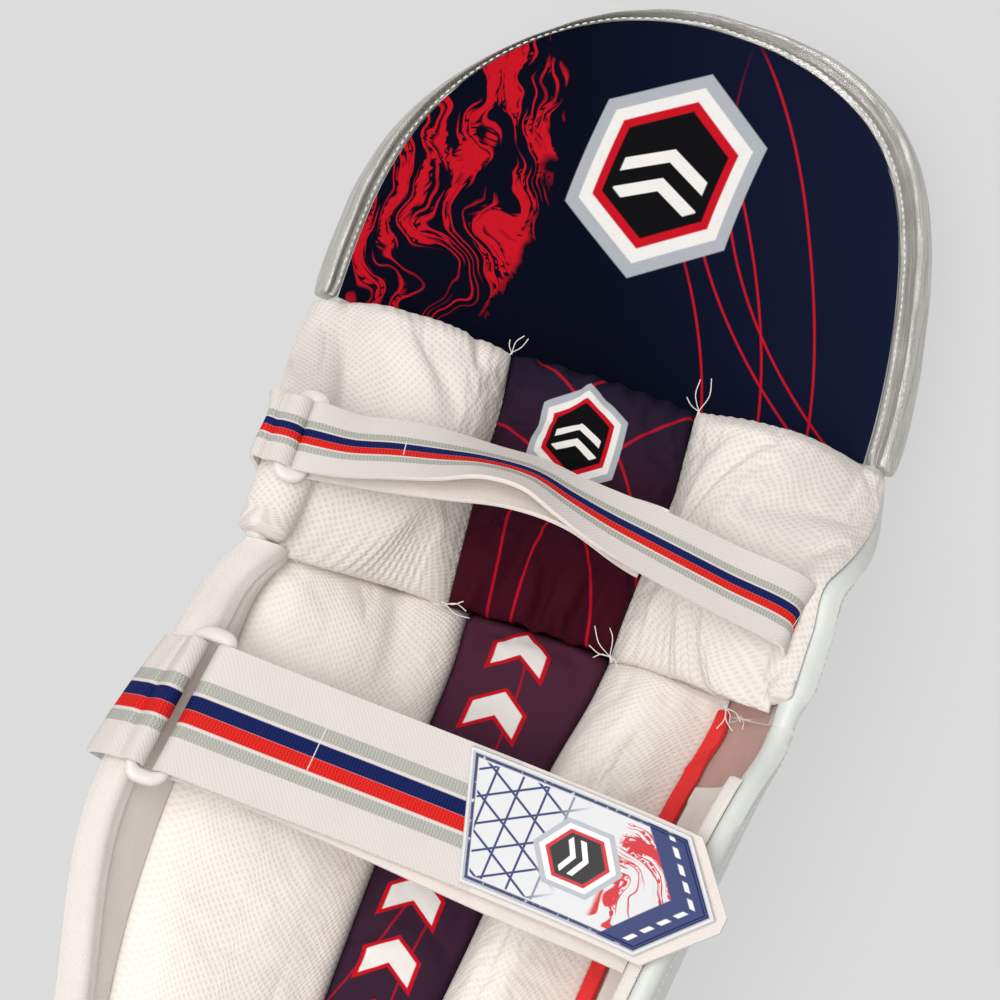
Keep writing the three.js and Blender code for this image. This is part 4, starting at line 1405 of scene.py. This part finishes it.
def add_knee_cushions():
    high = FLAP_BASE - 1
    inset_left, inset_right_low, inset_right_high = 4, 7, 5
    bolster_height, panel_height = 43, 38
    bolster_grid, panel_grid = (84, 72), (56, 72)

    def row_at(s, v):
        return mix(cushion_seam_at(s) + SEAM_GAP, high, v)

    def panel_half(v):
        return mix(PANEL_HALF_LOW, PANEL_HALF_HIGH, v)

    def pucker(u, v, count, depth):
        near = np.exp(-v / 0.1) + np.exp(-(1 - v) / 0.07)
        return depth * near * np.cos(2 * np.pi * count * (u + 0.02 * np.sin(9 * u)))

    def rim_fade(v):
        return ease(v, 0, 0.02) * ease(1 - v, 0, 0.03)

    def along(v):
        return crown(v, 0.64, 0.9, 3)

    def inner_edge(u, v):
        return mix(13, 5, ease(v, 0.78, 1))

    def left(u, v):
        edge = SHELL(mix(CUSHION_SEAM, high, v))["left"]
        s = mix(inset_left - edge, -panel_half(v) - 2 * SEAM_GAP, u)
        return s, row_at(s, v)

    def right(u, v):
        edge = SHELL(mix(CUSHION_SEAM, high, v))["right"]
        s = mix(panel_half(v) + 2 * SEAM_GAP, edge - mix(inset_right_low, inset_right_high, v), u)
        return s, row_at(s, v)

    def middle(u, v):
        s = mix(-panel_half(v), panel_half(v), u)
        return s, row_at(s, v)

    # Painted shade: the knee's net is painted darker than the shin's, though both are the same cloth, where
    # the knee takes more light.
    cover = net(pitch_share=1.0, painted_light=0.9, hole_shade_share=0.8)
    add_cushion(
        "knee_bolster_left", cover, "mesh", left,
        lambda u, v: bolster_height * crown(u, 0.2, 0.8, 3) * along(v) + pucker(u, v, 15, 0.5),
        bolster_grid, rounding=(0, inner_edge, 12, 9), deepest=(8, 12), fill=0.8, slack=0.012,
        side="left", fade=rim_fade, hang=5.5,
    )
    add_cushion(
        "knee_bolster_right", cover, "mesh", right,
        lambda u, v: bolster_height * crown(u, 0.8, 0.2, 3) * along(v) + pucker(u, v, 15, 0.5),
        bolster_grid, rounding=(inner_edge, 0, 12, 9), deepest=(8, 12), fill=0.7, slack=0.022,
        side="right", fade=rim_fade, hang=5.5,
    )
    add_cushion(
        "knee_panel", knee_print(), "print", middle,
        lambda u, v: panel_height * crown(u, 0.84, 0.84, 2.4) * along(v) + pucker(u, v, 7, 1.7),
        panel_grid, rounding=(6, 6, 11, 8), deepest=(6, 11), fill=0.7, slack=0.04, hang=5,
    )


def add_shin_cushions():
    toe_inset, bolster_toe = 22, 60
    bolster_height, panel_height = 36, 19
    rows = 230

    def row_at(s, v):
        return mix(toe_at(s) + toe_inset, cushion_seam_at(s) - SEAM_GAP, v)

    def along(v):
        return crown(v, 0.3, 0.5, 9)

    def place(column_of, toe):
        def spot(u, v):
            guess = column_of(SHIN_CUSHIONS(row_at(toe, v)), u)
            y = mix(row_at(toe, 0), cushion_seam_at(guess) - SEAM_GAP, v)
            return column_of(SHIN_CUSHIONS(y), u), y

        return spot

    # Painted light: the shin's net is painted a little lighter than the knee's, where less light reaches the
    # shin's hollow.
    cover = net(pitch_share=0.93, painted_light=1.02, hole_shade_share=0.45)
    add_cushion(
        "shin_bolster_left", cover, "mesh",
        place(lambda c, u: mix(-c["outer_left"], c["middle"] - c["half"] - SEAM_GAP, u), -bolster_toe),
        lambda u, v: bolster_height * crown(u, 0.3, 0.5, 2.6) * along(v),
        (64, rows), rounding=(7, 6, 8, 6), deepest=(6, 8), fill=0.85, slack=0.006,
    )
    add_cushion(
        "shin_bolster_right", cover, "mesh",
        place(lambda c, u: mix(c["middle"] + c["half"] + SEAM_GAP, c["outer_right"], u), bolster_toe),
        lambda u, v: bolster_height * crown(u, 0.5, 0.3, 2.6) * along(v),
        (48, rows), rounding=(6, 7, 8, 6), deepest=(6, 8), fill=0.85, slack=0.008,
    )
    add_cushion(
        "shin_panel", shin_print(), "print",
        place(lambda c, u: mix(c["middle"] - c["half"], c["middle"] + c["half"], u), 0),
        lambda u, v: panel_height * crown(u, 0.8, 0.8, 2.4) * along(v),
        (28, rows), rounding=(4, 4, 6, 5), deepest=(4, 6), fill=0.7, slack=0.02,
    )


def add_tape():
    low, high = -285, KNEE_BASE - 5
    tape_width, fold_at, fold_length = 5.2, 40, 5

    def at(lift):
        def surface(u, v):
            y = mix(low, high, v)
            inner = SHIN_CUSHIONS(y)["outer_right"] + GAP
            narrow = 1.2 * np.exp(-(((y - fold_at) / fold_length) ** 2)) + 2.5 * ease(v, 0.975, 1)
            width = tape_width + 0.3 * np.sin(y / 17) - narrow
            return on_shell(y, mix(inner, inner + width, u), BED_GAP + lift(u, v, y))

        return grid_of(10, 240, surface)

    def flat(u, v, y):
        crease = 0.8 * np.exp(-(((y - fold_at - 9 * (u - 0.5)) / 2) ** 2))
        return mix(4.2, 1.2, u) + 0.25 * np.sin(v * 60) * u + crease

    shape = wall(at(flat), at(lambda u, v, y: 0 * u))
    add_piece("edge_tape", shape, tape(), ["bolster_edge_tape"])


# Distance in from the wing's edge and lift of its lining's face there, from the hem over the rim.
LINING_HEMS = {
    "left": [
        (8.2, 1.5), (7.2, 1.4), (6.4, 2.4), (3.6, 2.5), (0.6, 2.3), (-1.7, 0.2), (-2.3, -3.5), (-1.6, -7.5),
    ],
    "right": [
        (7.2, 1.5), (6.2, 1.4), (5.5, 2.2), (3.6, 2.3), (1.8, 2.2), (0.4, 1.8), (-0.3, 0.6), (-0.4, -1),
    ],
}
# Name, side, distance from the bolster, gap to the shell, lower end, upper end at the bolster and at the rim,
# billow, and height of the fold along the upper end.
WING_LININGS = (
    ("left", -1, 1, 2.6, -300, 61, 58.5, 3.5, 0),
    ("right", 1, 8.5, BED_GAP, -292, 29, 26, 0.5, 0.8),
)


def add_linings():
    half = 0.5  # share of the columns at which the hem starts
    billow_share = 0.78
    for name, side, clear, gap, start, end_inner, end_outer, billow, fold in WING_LININGS:
        hem = smooth_line(LINING_HEMS[name], 36)

        def at(face):
            def surface(u, v):
                y = mix(start, mix(end_inner, end_outer, u), v)
                section = SHELL(y)
                edge = section[name]
                inner = SHIN_CUSHIONS(y)[f"outer_{name}"] + clear
                flat_part = u < half
                turned = at_lengths(np.clip((u - half) / half, 0, 1), np.linspace(0, 1, len(hem)), hem)
                to_hem = mix(inner, edge - hem[0, 0], np.minimum(u / half, 1))
                s = np.where(flat_part, to_hem, edge - turned[..., 0])
                lift = np.where(flat_part, 1.5 * crown(u, 0.5, 1, 4), turned[..., 1])
                swell = billow * np.sin(np.pi * np.clip(u / billow_share, 0, 1))
                lift = lift + swell * ease(y, -20, 15)
                if face:
                    folded = fold * ease((1 - v) * (end_inner - start), 7.2, 6.2) * flat_part
                    return on_section(section, y, side * s, gap * ease(lift, -2, 0) + lift + folded)
                return on_section(section, y, side * np.minimum(s, edge - 0.3), np.minimum(gap, lift) - 0.6)

            return grid_of(72, 220, surface)

        shape = wall(at(True), at(False), layers=2, rim=0.4)
        add_piece(f"wing_lining_{name}_cloth", shape, lining(), [f"wing_lining_{name}"])


def half_turn(bar, start, direction, steps=20):
    angle = start + direction * np.linspace(0, np.pi, steps + 1)
    reach = np.stack([np.cos(angle), 0 * angle, np.sin(angle)], axis=-1)
    return np.array(bar, float) + TURN_RADIUS * reach


def with_twist(points):
    return np.column_stack([points, np.zeros(len(points))])


def strap_runs(strap):
    """Stations of x, y, z and twist: out to the loop, round its bar, and back."""
    y, below, lift = strap["sewn"]
    section = SHELL(y)
    sewn = on_section(section, y, section["right"] - below, lift + WEBBING / 2)
    quarter = np.pi / 2
    start, direction = (-quarter, -1) if strap["back_over"] else (quarter, 1)
    bend = with_twist(half_turn(strap["turn"], start, direction))
    out = smooth_line([(*sewn, 0), *strap["run"], bend[0]], 110)
    back = smooth_line([bend[-1], *strap["back"]], 90)
    return out, bend, back


def across_line(stations):
    """The direction across flat webbing at each of its stations."""
    along = unit(np.gradient(stations[:, :3], axis=0))
    across = unit(np.array([0, 1, 0]) - along * along[:, 1:2])
    twist = np.radians(stations[:, 3:4])
    return across * np.cos(twist) + np.cross(along, across) * np.sin(twist)


def skewed(points, strap):
    """Leans what is near a strap's loop over to one side."""
    reach = 45
    x, y = points[..., 0] - strap["turn"][0], points[..., 1] - strap["turn"][1]
    shift = math.tan(math.radians(strap["skew"])) * y * np.exp(-((x / reach) ** 2))
    return points + shift[..., None] * np.array([1, 0, 0])


def loop_grid(strap):
    """A moulded loop as a rolled grid: a bar of rounded section round a long rounded slot."""
    squareness, bulge, bulge_length, most_corner = 0.75, 0.9, 5, 5
    half_x = (strap["loop_width"] - LOOP_BAR) / 2
    half_y = (strap["loop_length"] - LOOP_BAR) / 2 + 0.6
    corner = min(most_corner, half_x - 0.5)
    path = []
    for turn, (side_x, side_y) in enumerate(((1, 1), (-1, 1), (-1, -1), (1, -1))):
        angle = np.radians(np.linspace(0, 90, 9) + 90 * turn)
        x = side_x * (half_x - corner) + corner * np.cos(angle)
        y = side_y * (half_y - corner) + corner * np.sin(angle)
        path.append(np.stack([x, y, 0 * x], axis=-1))
    fine = smooth_line(np.vstack([*path, path[0][:1]]), 96)
    along = np.roll(fine[:-1], -1, axis=0) - np.roll(fine[:-1], 1, axis=0)
    along = np.vstack([along, along[:1]])
    outward = unit(np.stack([along[:, 1], -along[:, 0], 0 * along[:, 0]], axis=-1))[:, None]
    angle = np.linspace(0, 2 * np.pi, 17)[None, :, None]
    cos, sin = (np.sign(wave) * np.abs(wave) ** squareness for wave in (np.cos(angle), np.sin(angle)))
    half_bar = (LOOP_BAR / 2 + bulge * ease(np.abs(fine[:, 1]), half_y - bulge_length, half_y))[:, None, None]
    grid = fine[:, None] + outward * cos * half_bar + np.array([0, 0, 1]) * sin * (LOOP_WALL / 2 + 0.3)
    tilt = math.radians(LOOP_TILT)
    turned = np.array([[math.cos(tilt), 0, math.sin(tilt)], [0, 1, 0], [-math.sin(tilt), 0, math.cos(tilt)]])
    return skewed(grid @ turned.T + loop_middle(strap, 0.5), strap)


def loop_middle(strap, share):
    tilt = math.radians(LOOP_TILT)
    span = (strap["loop_width"] - LOOP_BAR) * share
    return np.array(strap["turn"]) + np.array([-span * math.cos(tilt), 0, span * math.sin(tilt)])


def tab_grid(strap):
    """Points across and along a tab: up over the wing's edge, dipped at its seam, round the loop's bar."""
    dip_length = 2.4
    lines = []
    for u in np.linspace(0, 1, 13):
        y = strap["turn"][1] + (u - 0.5) * (strap["width"] - 1)
        section = SHELL(y)
        over = [
            on_section(section, y, below - section["left"], -share * strap["wall"] - GAP - WEBBING / 2)
            for below, share in strap["over_edge"]
        ]
        bar = loop_middle(strap, 1)
        bar[1] = y
        turn = half_turn(bar, np.pi / 2, -1, 12)
        rise = smooth_line([*over, turn[0]], 36)
        before = run_lengths(rise)[-1] - run_lengths(rise)
        rise[:, 2] -= TAB_DIP * np.exp(-(((before - TAB_SEAM) / dip_length) ** 2))
        tail = turn[-1] + np.linspace(0, TAB_TAIL, 5)[1:, None] * np.array([-1, 0, 0])
        lines.append(np.vstack([rise[:-1], turn, tail]))
    return skewed(np.array(lines), strap)


def share_map(grid):
    """A cloth map with the share across the width and the millimetres along."""
    columns = grid.shape[0] - 1
    share = (np.linspace(0, 1, columns + 1) - 0.5)[:, None] / MM
    return keep_flat(share, run_lengths(grid[columns // 2])[None, :])


def strap_grid(strap):
    """Points across and along a strap's webbing, and how far each row along it is from its free end."""
    tip_share = 0.12
    out, bend, back = strap_runs(strap)
    stations = np.vstack([out[:-1], bend, back[1:]])
    left = run_lengths(stations)[-1] - run_lengths(stations)
    pointed = np.minimum(1, tip_share + (1 - tip_share) * left / POINT_LENGTH)
    full = pointed if strap["back_over"] else 1 + 0 * left
    reach = np.linspace(-0.5, 0.5, 15)[:, None, None] * strap["width"] * full[None, :, None]
    return skewed(stations[None, :, :3] + reach * across_line(stations)[None], strap), left


def face_lift(strap):
    """How far a strap's striped face is along the normals of its grid."""
    return -WEBBING / 2 if strap["back_over"] else WEBBING / 2


def add_straps():
    for name, strap in STRAPS.items():
        grid, left = strap_grid(strap)
        face = face_lift(strap)
        plain = PATCH_LENGTH - PATCH_SLANT if strap["back_over"] else 0
        striped = (0, 0, np.count_nonzero(left >= plain))
        finish = [webbing_back(), webbing(strap["width"])]
        shape = ribbon(grid, face, -face, flat=share_map(grid), inner=striped)
        add_piece(f"{name}_strap_webbing", shape, finish, [f"{name}_strap"])
        shape = rolled(loop_grid(strap), closed_path=True)
        add_piece(f"{name}_loop", shape, plastic(), [f"{name}_strap_loop"])
        grid = tab_grid(strap)
        shape = ribbon(grid, -WEBBING / 2, WEBBING / 2, flat=share_map(grid), inner=(0, 0, grid.shape[1]))
        add_piece(f"{name}_tab_webbing", shape, finish, [f"{name}_strap_tab"])


def add_patch():
    columns = 48
    strap = STRAPS["calf"]
    _, _, back = strap_runs(strap)
    run, across = run_lengths(back), across_line(back)
    half = strap["width"] / 2 - PATCH_MARGIN
    total = run[-1] - PATCH_SETBACK

    def surface(u, v):
        end = total - POINT_LENGTH * np.abs(2 * u - 1)
        start = total - PATCH_LENGTH + PATCH_SLANT * (1 - u)
        at = mix(start, end, v)
        middle = at_lengths(at, run, back[:, :3])
        aside = at_lengths(at, run, across) * ((2 * u - 1) * half)[..., None]
        return np.concatenate([middle + aside, at[..., None]], axis=-1)

    points = grid_of(columns, 90, surface)
    grid = points[..., :3]
    from_middle = np.linspace(-half, half, columns + 1)[:, None]
    flat = keep_flat(from_middle, points[..., 3] - total + PATCH_LENGTH)
    low = WEBBING / 2 + GAP * 0.2
    shape = ribbon(grid, -low - PATCH_WALL, -low, layers=3, rim=0.5, flat=flat)
    add_piece("calf_patch", shape, rubber(), ["calf_strap_patch"])


def sew(name, rows, colour_name):
    """Rows of stitches as one piece. Each row holds its points and the directions off the cloth."""
    shape = bmesh.new()
    shape.loops.layers.uv.new("UVMap")
    length, pitch, radius = sizes().stitch_length / MM, sizes().stitch_pitch / MM, sizes().thread / MM
    flatness = 1.2
    for points, up in rows:
        run = run_lengths(points)
        count = int(run[-1] / pitch)
        for at in (np.arange(count) + 0.5) * run[-1] / count:
            behind, place, ahead = at_lengths(at + np.array([-0.5, 0, 0.5]) * length, run, points)
            along = Vector(ahead - behind).normalized()
            side = along.cross(Vector(at_lengths(at, run, up))).normalized()
            axes = (along * length / 2, side * radius * flatness, side.cross(along) * radius)
            turn = Matrix(axes).transposed()
            matrix = Matrix.Translation((place + ORIGIN) * MM) @ (turn * MM).to_4x4()
            bmesh.ops.create_uvsphere(shape, u_segments=6, v_segments=4, radius=1, matrix=matrix)
    add_piece(name, shape, thread(colour_name))


def surface_row(surface, y, s, lift):
    """A row of stitches on a surface, with its directions off the cloth."""
    points = surface(y, s, lift)
    return points, surface(y, s, lift + 1) - points


# Loose thread ends: s and y on the shell and lift where they come out, then how far off each one's tip is.
LOOSE_ENDS = (
    (-40.5, 172, 27, ((3, 7, 4), (5, 6, 5), (-2, 4, 3))),
    (41.5, 172, 27, ((-3, 11, 6), (1, 13, 5), (-6, 3, 4))),
    (-34, 68, 19, ((9, -1, 3), (7, 2, 5), (-4, -2, 3), (11, -3, 2))),
    (33.5, 68, 19, ((-9, 8, 8), (-6, 12, 8), (-9, 1, 4), (-6, -3, 3), (4, -4, 3))),
    (108, 58, 14, ((3, -6, 3), (-4, -6, 3), (7, -4, 2), (5, -8, 1), (-1, -9, 1))),
    (104, 58, 5, ((2, -5, 3), (4, -1, 5), (-3, -4, 4))),
)
# Tacks over the straps' middle stripes: x where each crosses, and the shares across that it goes from and to.
TACKS = {"knee": ((97, 0.3, 0.62), (-62, 0.36, 0.6)), "calf": ((-56, 0.28, 0.62),)}


def thread_ends():
    """Paths of the loose thread ends, each bowed over to one side."""
    bow_share = 0.14
    for s, y, lift, tips in LOOSE_ENDS:
        root = on_shell(np.array(y), np.array(s), np.array(lift, float))
        for number, tip in enumerate(tips):
            tip = np.array(tip, float)
            bow = np.cross(tip, (0, 0, bow_share if number % 2 else -bow_share)) + np.array([0, 0, 1.0])
            yield smooth_line([root - tip * 0.15, root, root + tip / 2 + bow, root + tip], 10)


def tack_paths():
    """Paths of the single threads that lie over the straps' stripes."""
    for name, tacks in TACKS.items():
        strap = STRAPS[name]
        grid, _ = strap_grid(strap)
        bar = np.argmin(grid[grid.shape[0] // 2, :, 0])
        side = slice(bar, None) if strap["back_over"] else slice(0, bar)
        lifted = (grid + grid_normals(grid) * face_lift(strap))[::-1]
        shares = np.linspace(0, 1, grid.shape[0])
        for x, start, end in tacks:
            row = np.argmin(np.abs(grid[grid.shape[0] // 2, side, 0] - x)) + (side.start or 0)
            yield at_lengths(np.linspace(start, end, 9), shares, lifted[:, row])


def add_threads():
    shape = bmesh.new()
    shape.loops.layers.uv.new("UVMap")
    radius = sizes().thread / MM * 0.6
    for path in (*thread_ends(), *tack_paths()):
        mesh = to_mesh("strand", rolled(round_tube(path, radius, 5)))
        shape.from_mesh(mesh)
        bpy.data.meshes.remove(mesh)
    add_piece("loose_threads", shape, thread("thread"))


def add_stitches():
    t = np.linspace(0.004, 0.996, 400)
    s, y = flap_outline(t, piping_grow(t, 2.3))
    sew("piping_stitches", [surface_row(on_flap, y, s, 0.1 + piping_wobble(t))], "silver_thread")
    rims = []
    for start, end, wall_thickness in ((70, 170, KNEE_WALL), (-270, 50, SHIN_WALL)):
        y = np.linspace(start, end, 160)
        rims.append(surface_row(on_shell, y, SHELL(y)["right"] - 9, 0 * y - wall_thickness - 0.15))
    sew("rim_stitches", rims, "thread")
    y = np.linspace(-276, 24, 300)
    sew("hem_stitches", [surface_row(on_shell, y, SHELL(y)["right"] - 4.6, BED_GAP + 2.55 + 0 * y)], "thread")


def add_stage():
    scene = bpy.context.scene
    setup = scene.pad_stage
    flat_reach = math.cos(setup.height)
    back = Vector(
        (math.sin(setup.turn) * flat_reach, -math.cos(setup.turn) * flat_reach, math.sin(setup.height))
    )
    camera = add_object("camera", bpy.data.cameras.new("camera"))
    camera.data.lens = setup.lens
    camera.data.sensor_width = 36
    camera.location = Vector(setup.target) + back * setup.distance
    camera.rotation_euler = back.to_track_quat("Z", "Y").to_euler()
    scene.camera = camera

    shape = bmesh.new()
    bmesh.ops.create_grid(shape, x_segments=2, y_segments=2, size=6)
    bmesh.ops.translate(shape, vec=(0, 0, -0.0003), verts=shape.verts)
    mesh = to_mesh("floor", shape)
    material, tree, shader = new_finish("floor", 0.9, specular=0.1)
    tone = noise(object_place(tree), 0.9)
    paint(shader, tint(setup.floor, shade(setup.floor, 0.98), tone))
    shader.inputs["Emission Color"].default_value = (1, 1, 1, 1)
    shader.inputs["Emission Strength"].default_value = setup.glow
    mesh.materials.append(material)
    floor = add_object("floor", mesh)
    floor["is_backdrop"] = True

    world = bpy.data.worlds.new("studio")
    world.use_nodes = True
    sky = world.node_tree.nodes["Background"]
    sky.inputs["Color"].default_value = (1, 1, 1, 1)
    sky.inputs["Strength"].default_value = setup.sky
    scene.world = world
    lit_place = Vector((0, 0.05, 0.05))
    lamps = (
        ("key_lamp", (-0.75, -0.3, 3.2), 2.2, setup.key),
        ("fill_lamp", (-0.6, -1.6, 2.9), 2.0, setup.fill),
    )
    for name, place, size, power in lamps:
        lamp = add_object(name, bpy.data.lights.new(name, "AREA"))
        lamp.data.energy = power
        lamp.data.size = size
        lamp.location = place
        lamp.rotation_euler = (lamp.location - lit_place).to_track_quat("Z", "Y").to_euler()
    scene.view_settings.view_transform = "Standard"


# Operators


class BATTING_PAD_OT_stage(bpy.types.Operator):
    """Adds the camera, lamps and floor"""

    bl_idname = "batting_pad.stage"
    bl_label = "Stage"

    def execute(self, context):
        add_stage()
        return {"FINISHED"}


class BATTING_PAD_OT_shell(bpy.types.Operator):
    """Makes the coated walls of the shin and knee"""

    bl_idname = "batting_pad.shell"
    bl_label = "Shell"

    def execute(self, context):
        add_shell()
        return {"FINISHED"}


class BATTING_PAD_OT_flap(bpy.types.Operator):
    """Makes the printed thigh flap and its piping"""

    bl_idname = "batting_pad.flap"
    bl_label = "Thigh Flap"

    def execute(self, context):
        add_flap()
        add_piping()
        return {"FINISHED"}


class BATTING_PAD_OT_front(bpy.types.Operator):
    """Makes the ribs and rolls on the front"""

    bl_idname = "batting_pad.front"
    bl_label = "Front Ribs"

    def execute(self, context):
        add_shin_ribs()
        add_knee_rolls()
        add_flap_ribs()
        return {"FINISHED"}


class BATTING_PAD_OT_knee_cushions(bpy.types.Operator):
    """Makes the padded cushions round the knee"""

    bl_idname = "batting_pad.knee_cushions"
    bl_label = "Knee Cushions"

    def execute(self, context):
        add_knee_cushions()
        return {"FINISHED"}


class BATTING_PAD_OT_shin_cushions(bpy.types.Operator):
    """Makes the padded cushions along the shin"""

    bl_idname = "batting_pad.shin_cushions"
    bl_label = "Shin Cushions"

    def execute(self, context):
        add_shin_cushions()
        return {"FINISHED"}


class BATTING_PAD_OT_linings(bpy.types.Operator):
    """Makes the wings' linings and the bolster's edge tape"""

    bl_idname = "batting_pad.linings"
    bl_label = "Linings"

    def execute(self, context):
        add_tape()
        add_linings()
        return {"FINISHED"}


class BATTING_PAD_OT_straps(bpy.types.Operator):
    """Makes the straps, their loops and tabs"""

    bl_idname = "batting_pad.straps"
    bl_label = "Straps"

    def execute(self, context):
        add_straps()
        return {"FINISHED"}


class BATTING_PAD_OT_patch(bpy.types.Operator):
    """Makes the rubber patch on the calf strap"""

    bl_idname = "batting_pad.patch"
    bl_label = "Patch"

    def execute(self, context):
        add_patch()
        return {"FINISHED"}


class BATTING_PAD_OT_stitches(bpy.types.Operator):
    """Sews the rows of stitches and leaves their loose ends"""

    bl_idname = "batting_pad.stitches"
    bl_label = "Stitches"

    def execute(self, context):
        add_stitches()
        add_threads()
        return {"FINISHED"}


class BATTING_PAD_PT_tools(bpy.types.Panel):
    """Lists the pad's pieces, sizes and colours"""

    bl_idname = "BATTING_PAD_PT_tools"
    bl_label = "Batting Pad"
    bl_space_type = "VIEW_3D"
    bl_region_type = "UI"
    bl_category = "Batting Pad"

    def draw(self, context):
        for operator in OPERATORS:
            self.layout.operator(operator.bl_idname)
        for group in (context.scene.pad_sizes, context.scene.pad_colours, context.scene.pad_stage):
            box = self.layout.box()
            for name in group.__annotations__:
                box.prop(group, name)


OPERATORS = (
    BATTING_PAD_OT_stage,
    BATTING_PAD_OT_shell,
    BATTING_PAD_OT_flap,
    BATTING_PAD_OT_front,
    BATTING_PAD_OT_knee_cushions,
    BATTING_PAD_OT_shin_cushions,
    BATTING_PAD_OT_linings,
    BATTING_PAD_OT_straps,
    BATTING_PAD_OT_patch,
    BATTING_PAD_OT_stitches,
)
GROUPS = {"pad_sizes": PadSizes, "pad_colours": PadColours, "pad_stage": PadStage}


def register():
    for kind in (*GROUPS.values(), *OPERATORS, BATTING_PAD_PT_tools):
        bpy.utils.register_class(kind)
    for name, group in GROUPS.items():
        setattr(bpy.types.Scene, name, PointerProperty(type=group))


def unregister():
    for name in GROUPS:
        delattr(bpy.types.Scene, name)
    for kind in (BATTING_PAD_PT_tools, *OPERATORS, *GROUPS.values()):
        bpy.utils.unregister_class(kind)


def main():
    register()
    bpy.ops.batting_pad.stage()
    bpy.ops.batting_pad.shell()
    bpy.ops.batting_pad.flap()
    bpy.ops.batting_pad.front()
    bpy.ops.batting_pad.knee_cushions()
    bpy.ops.batting_pad.shin_cushions()
    bpy.ops.batting_pad.linings()
    bpy.ops.batting_pad.straps()
    bpy.ops.batting_pad.patch()
    bpy.ops.batting_pad.stitches()
    boxes = {"cad": CAD_BOX, "visual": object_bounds()}
    {name: [list(corner) for corner in box] for name, box in boxes.items()}


if __name__ == "__main__":
    main()
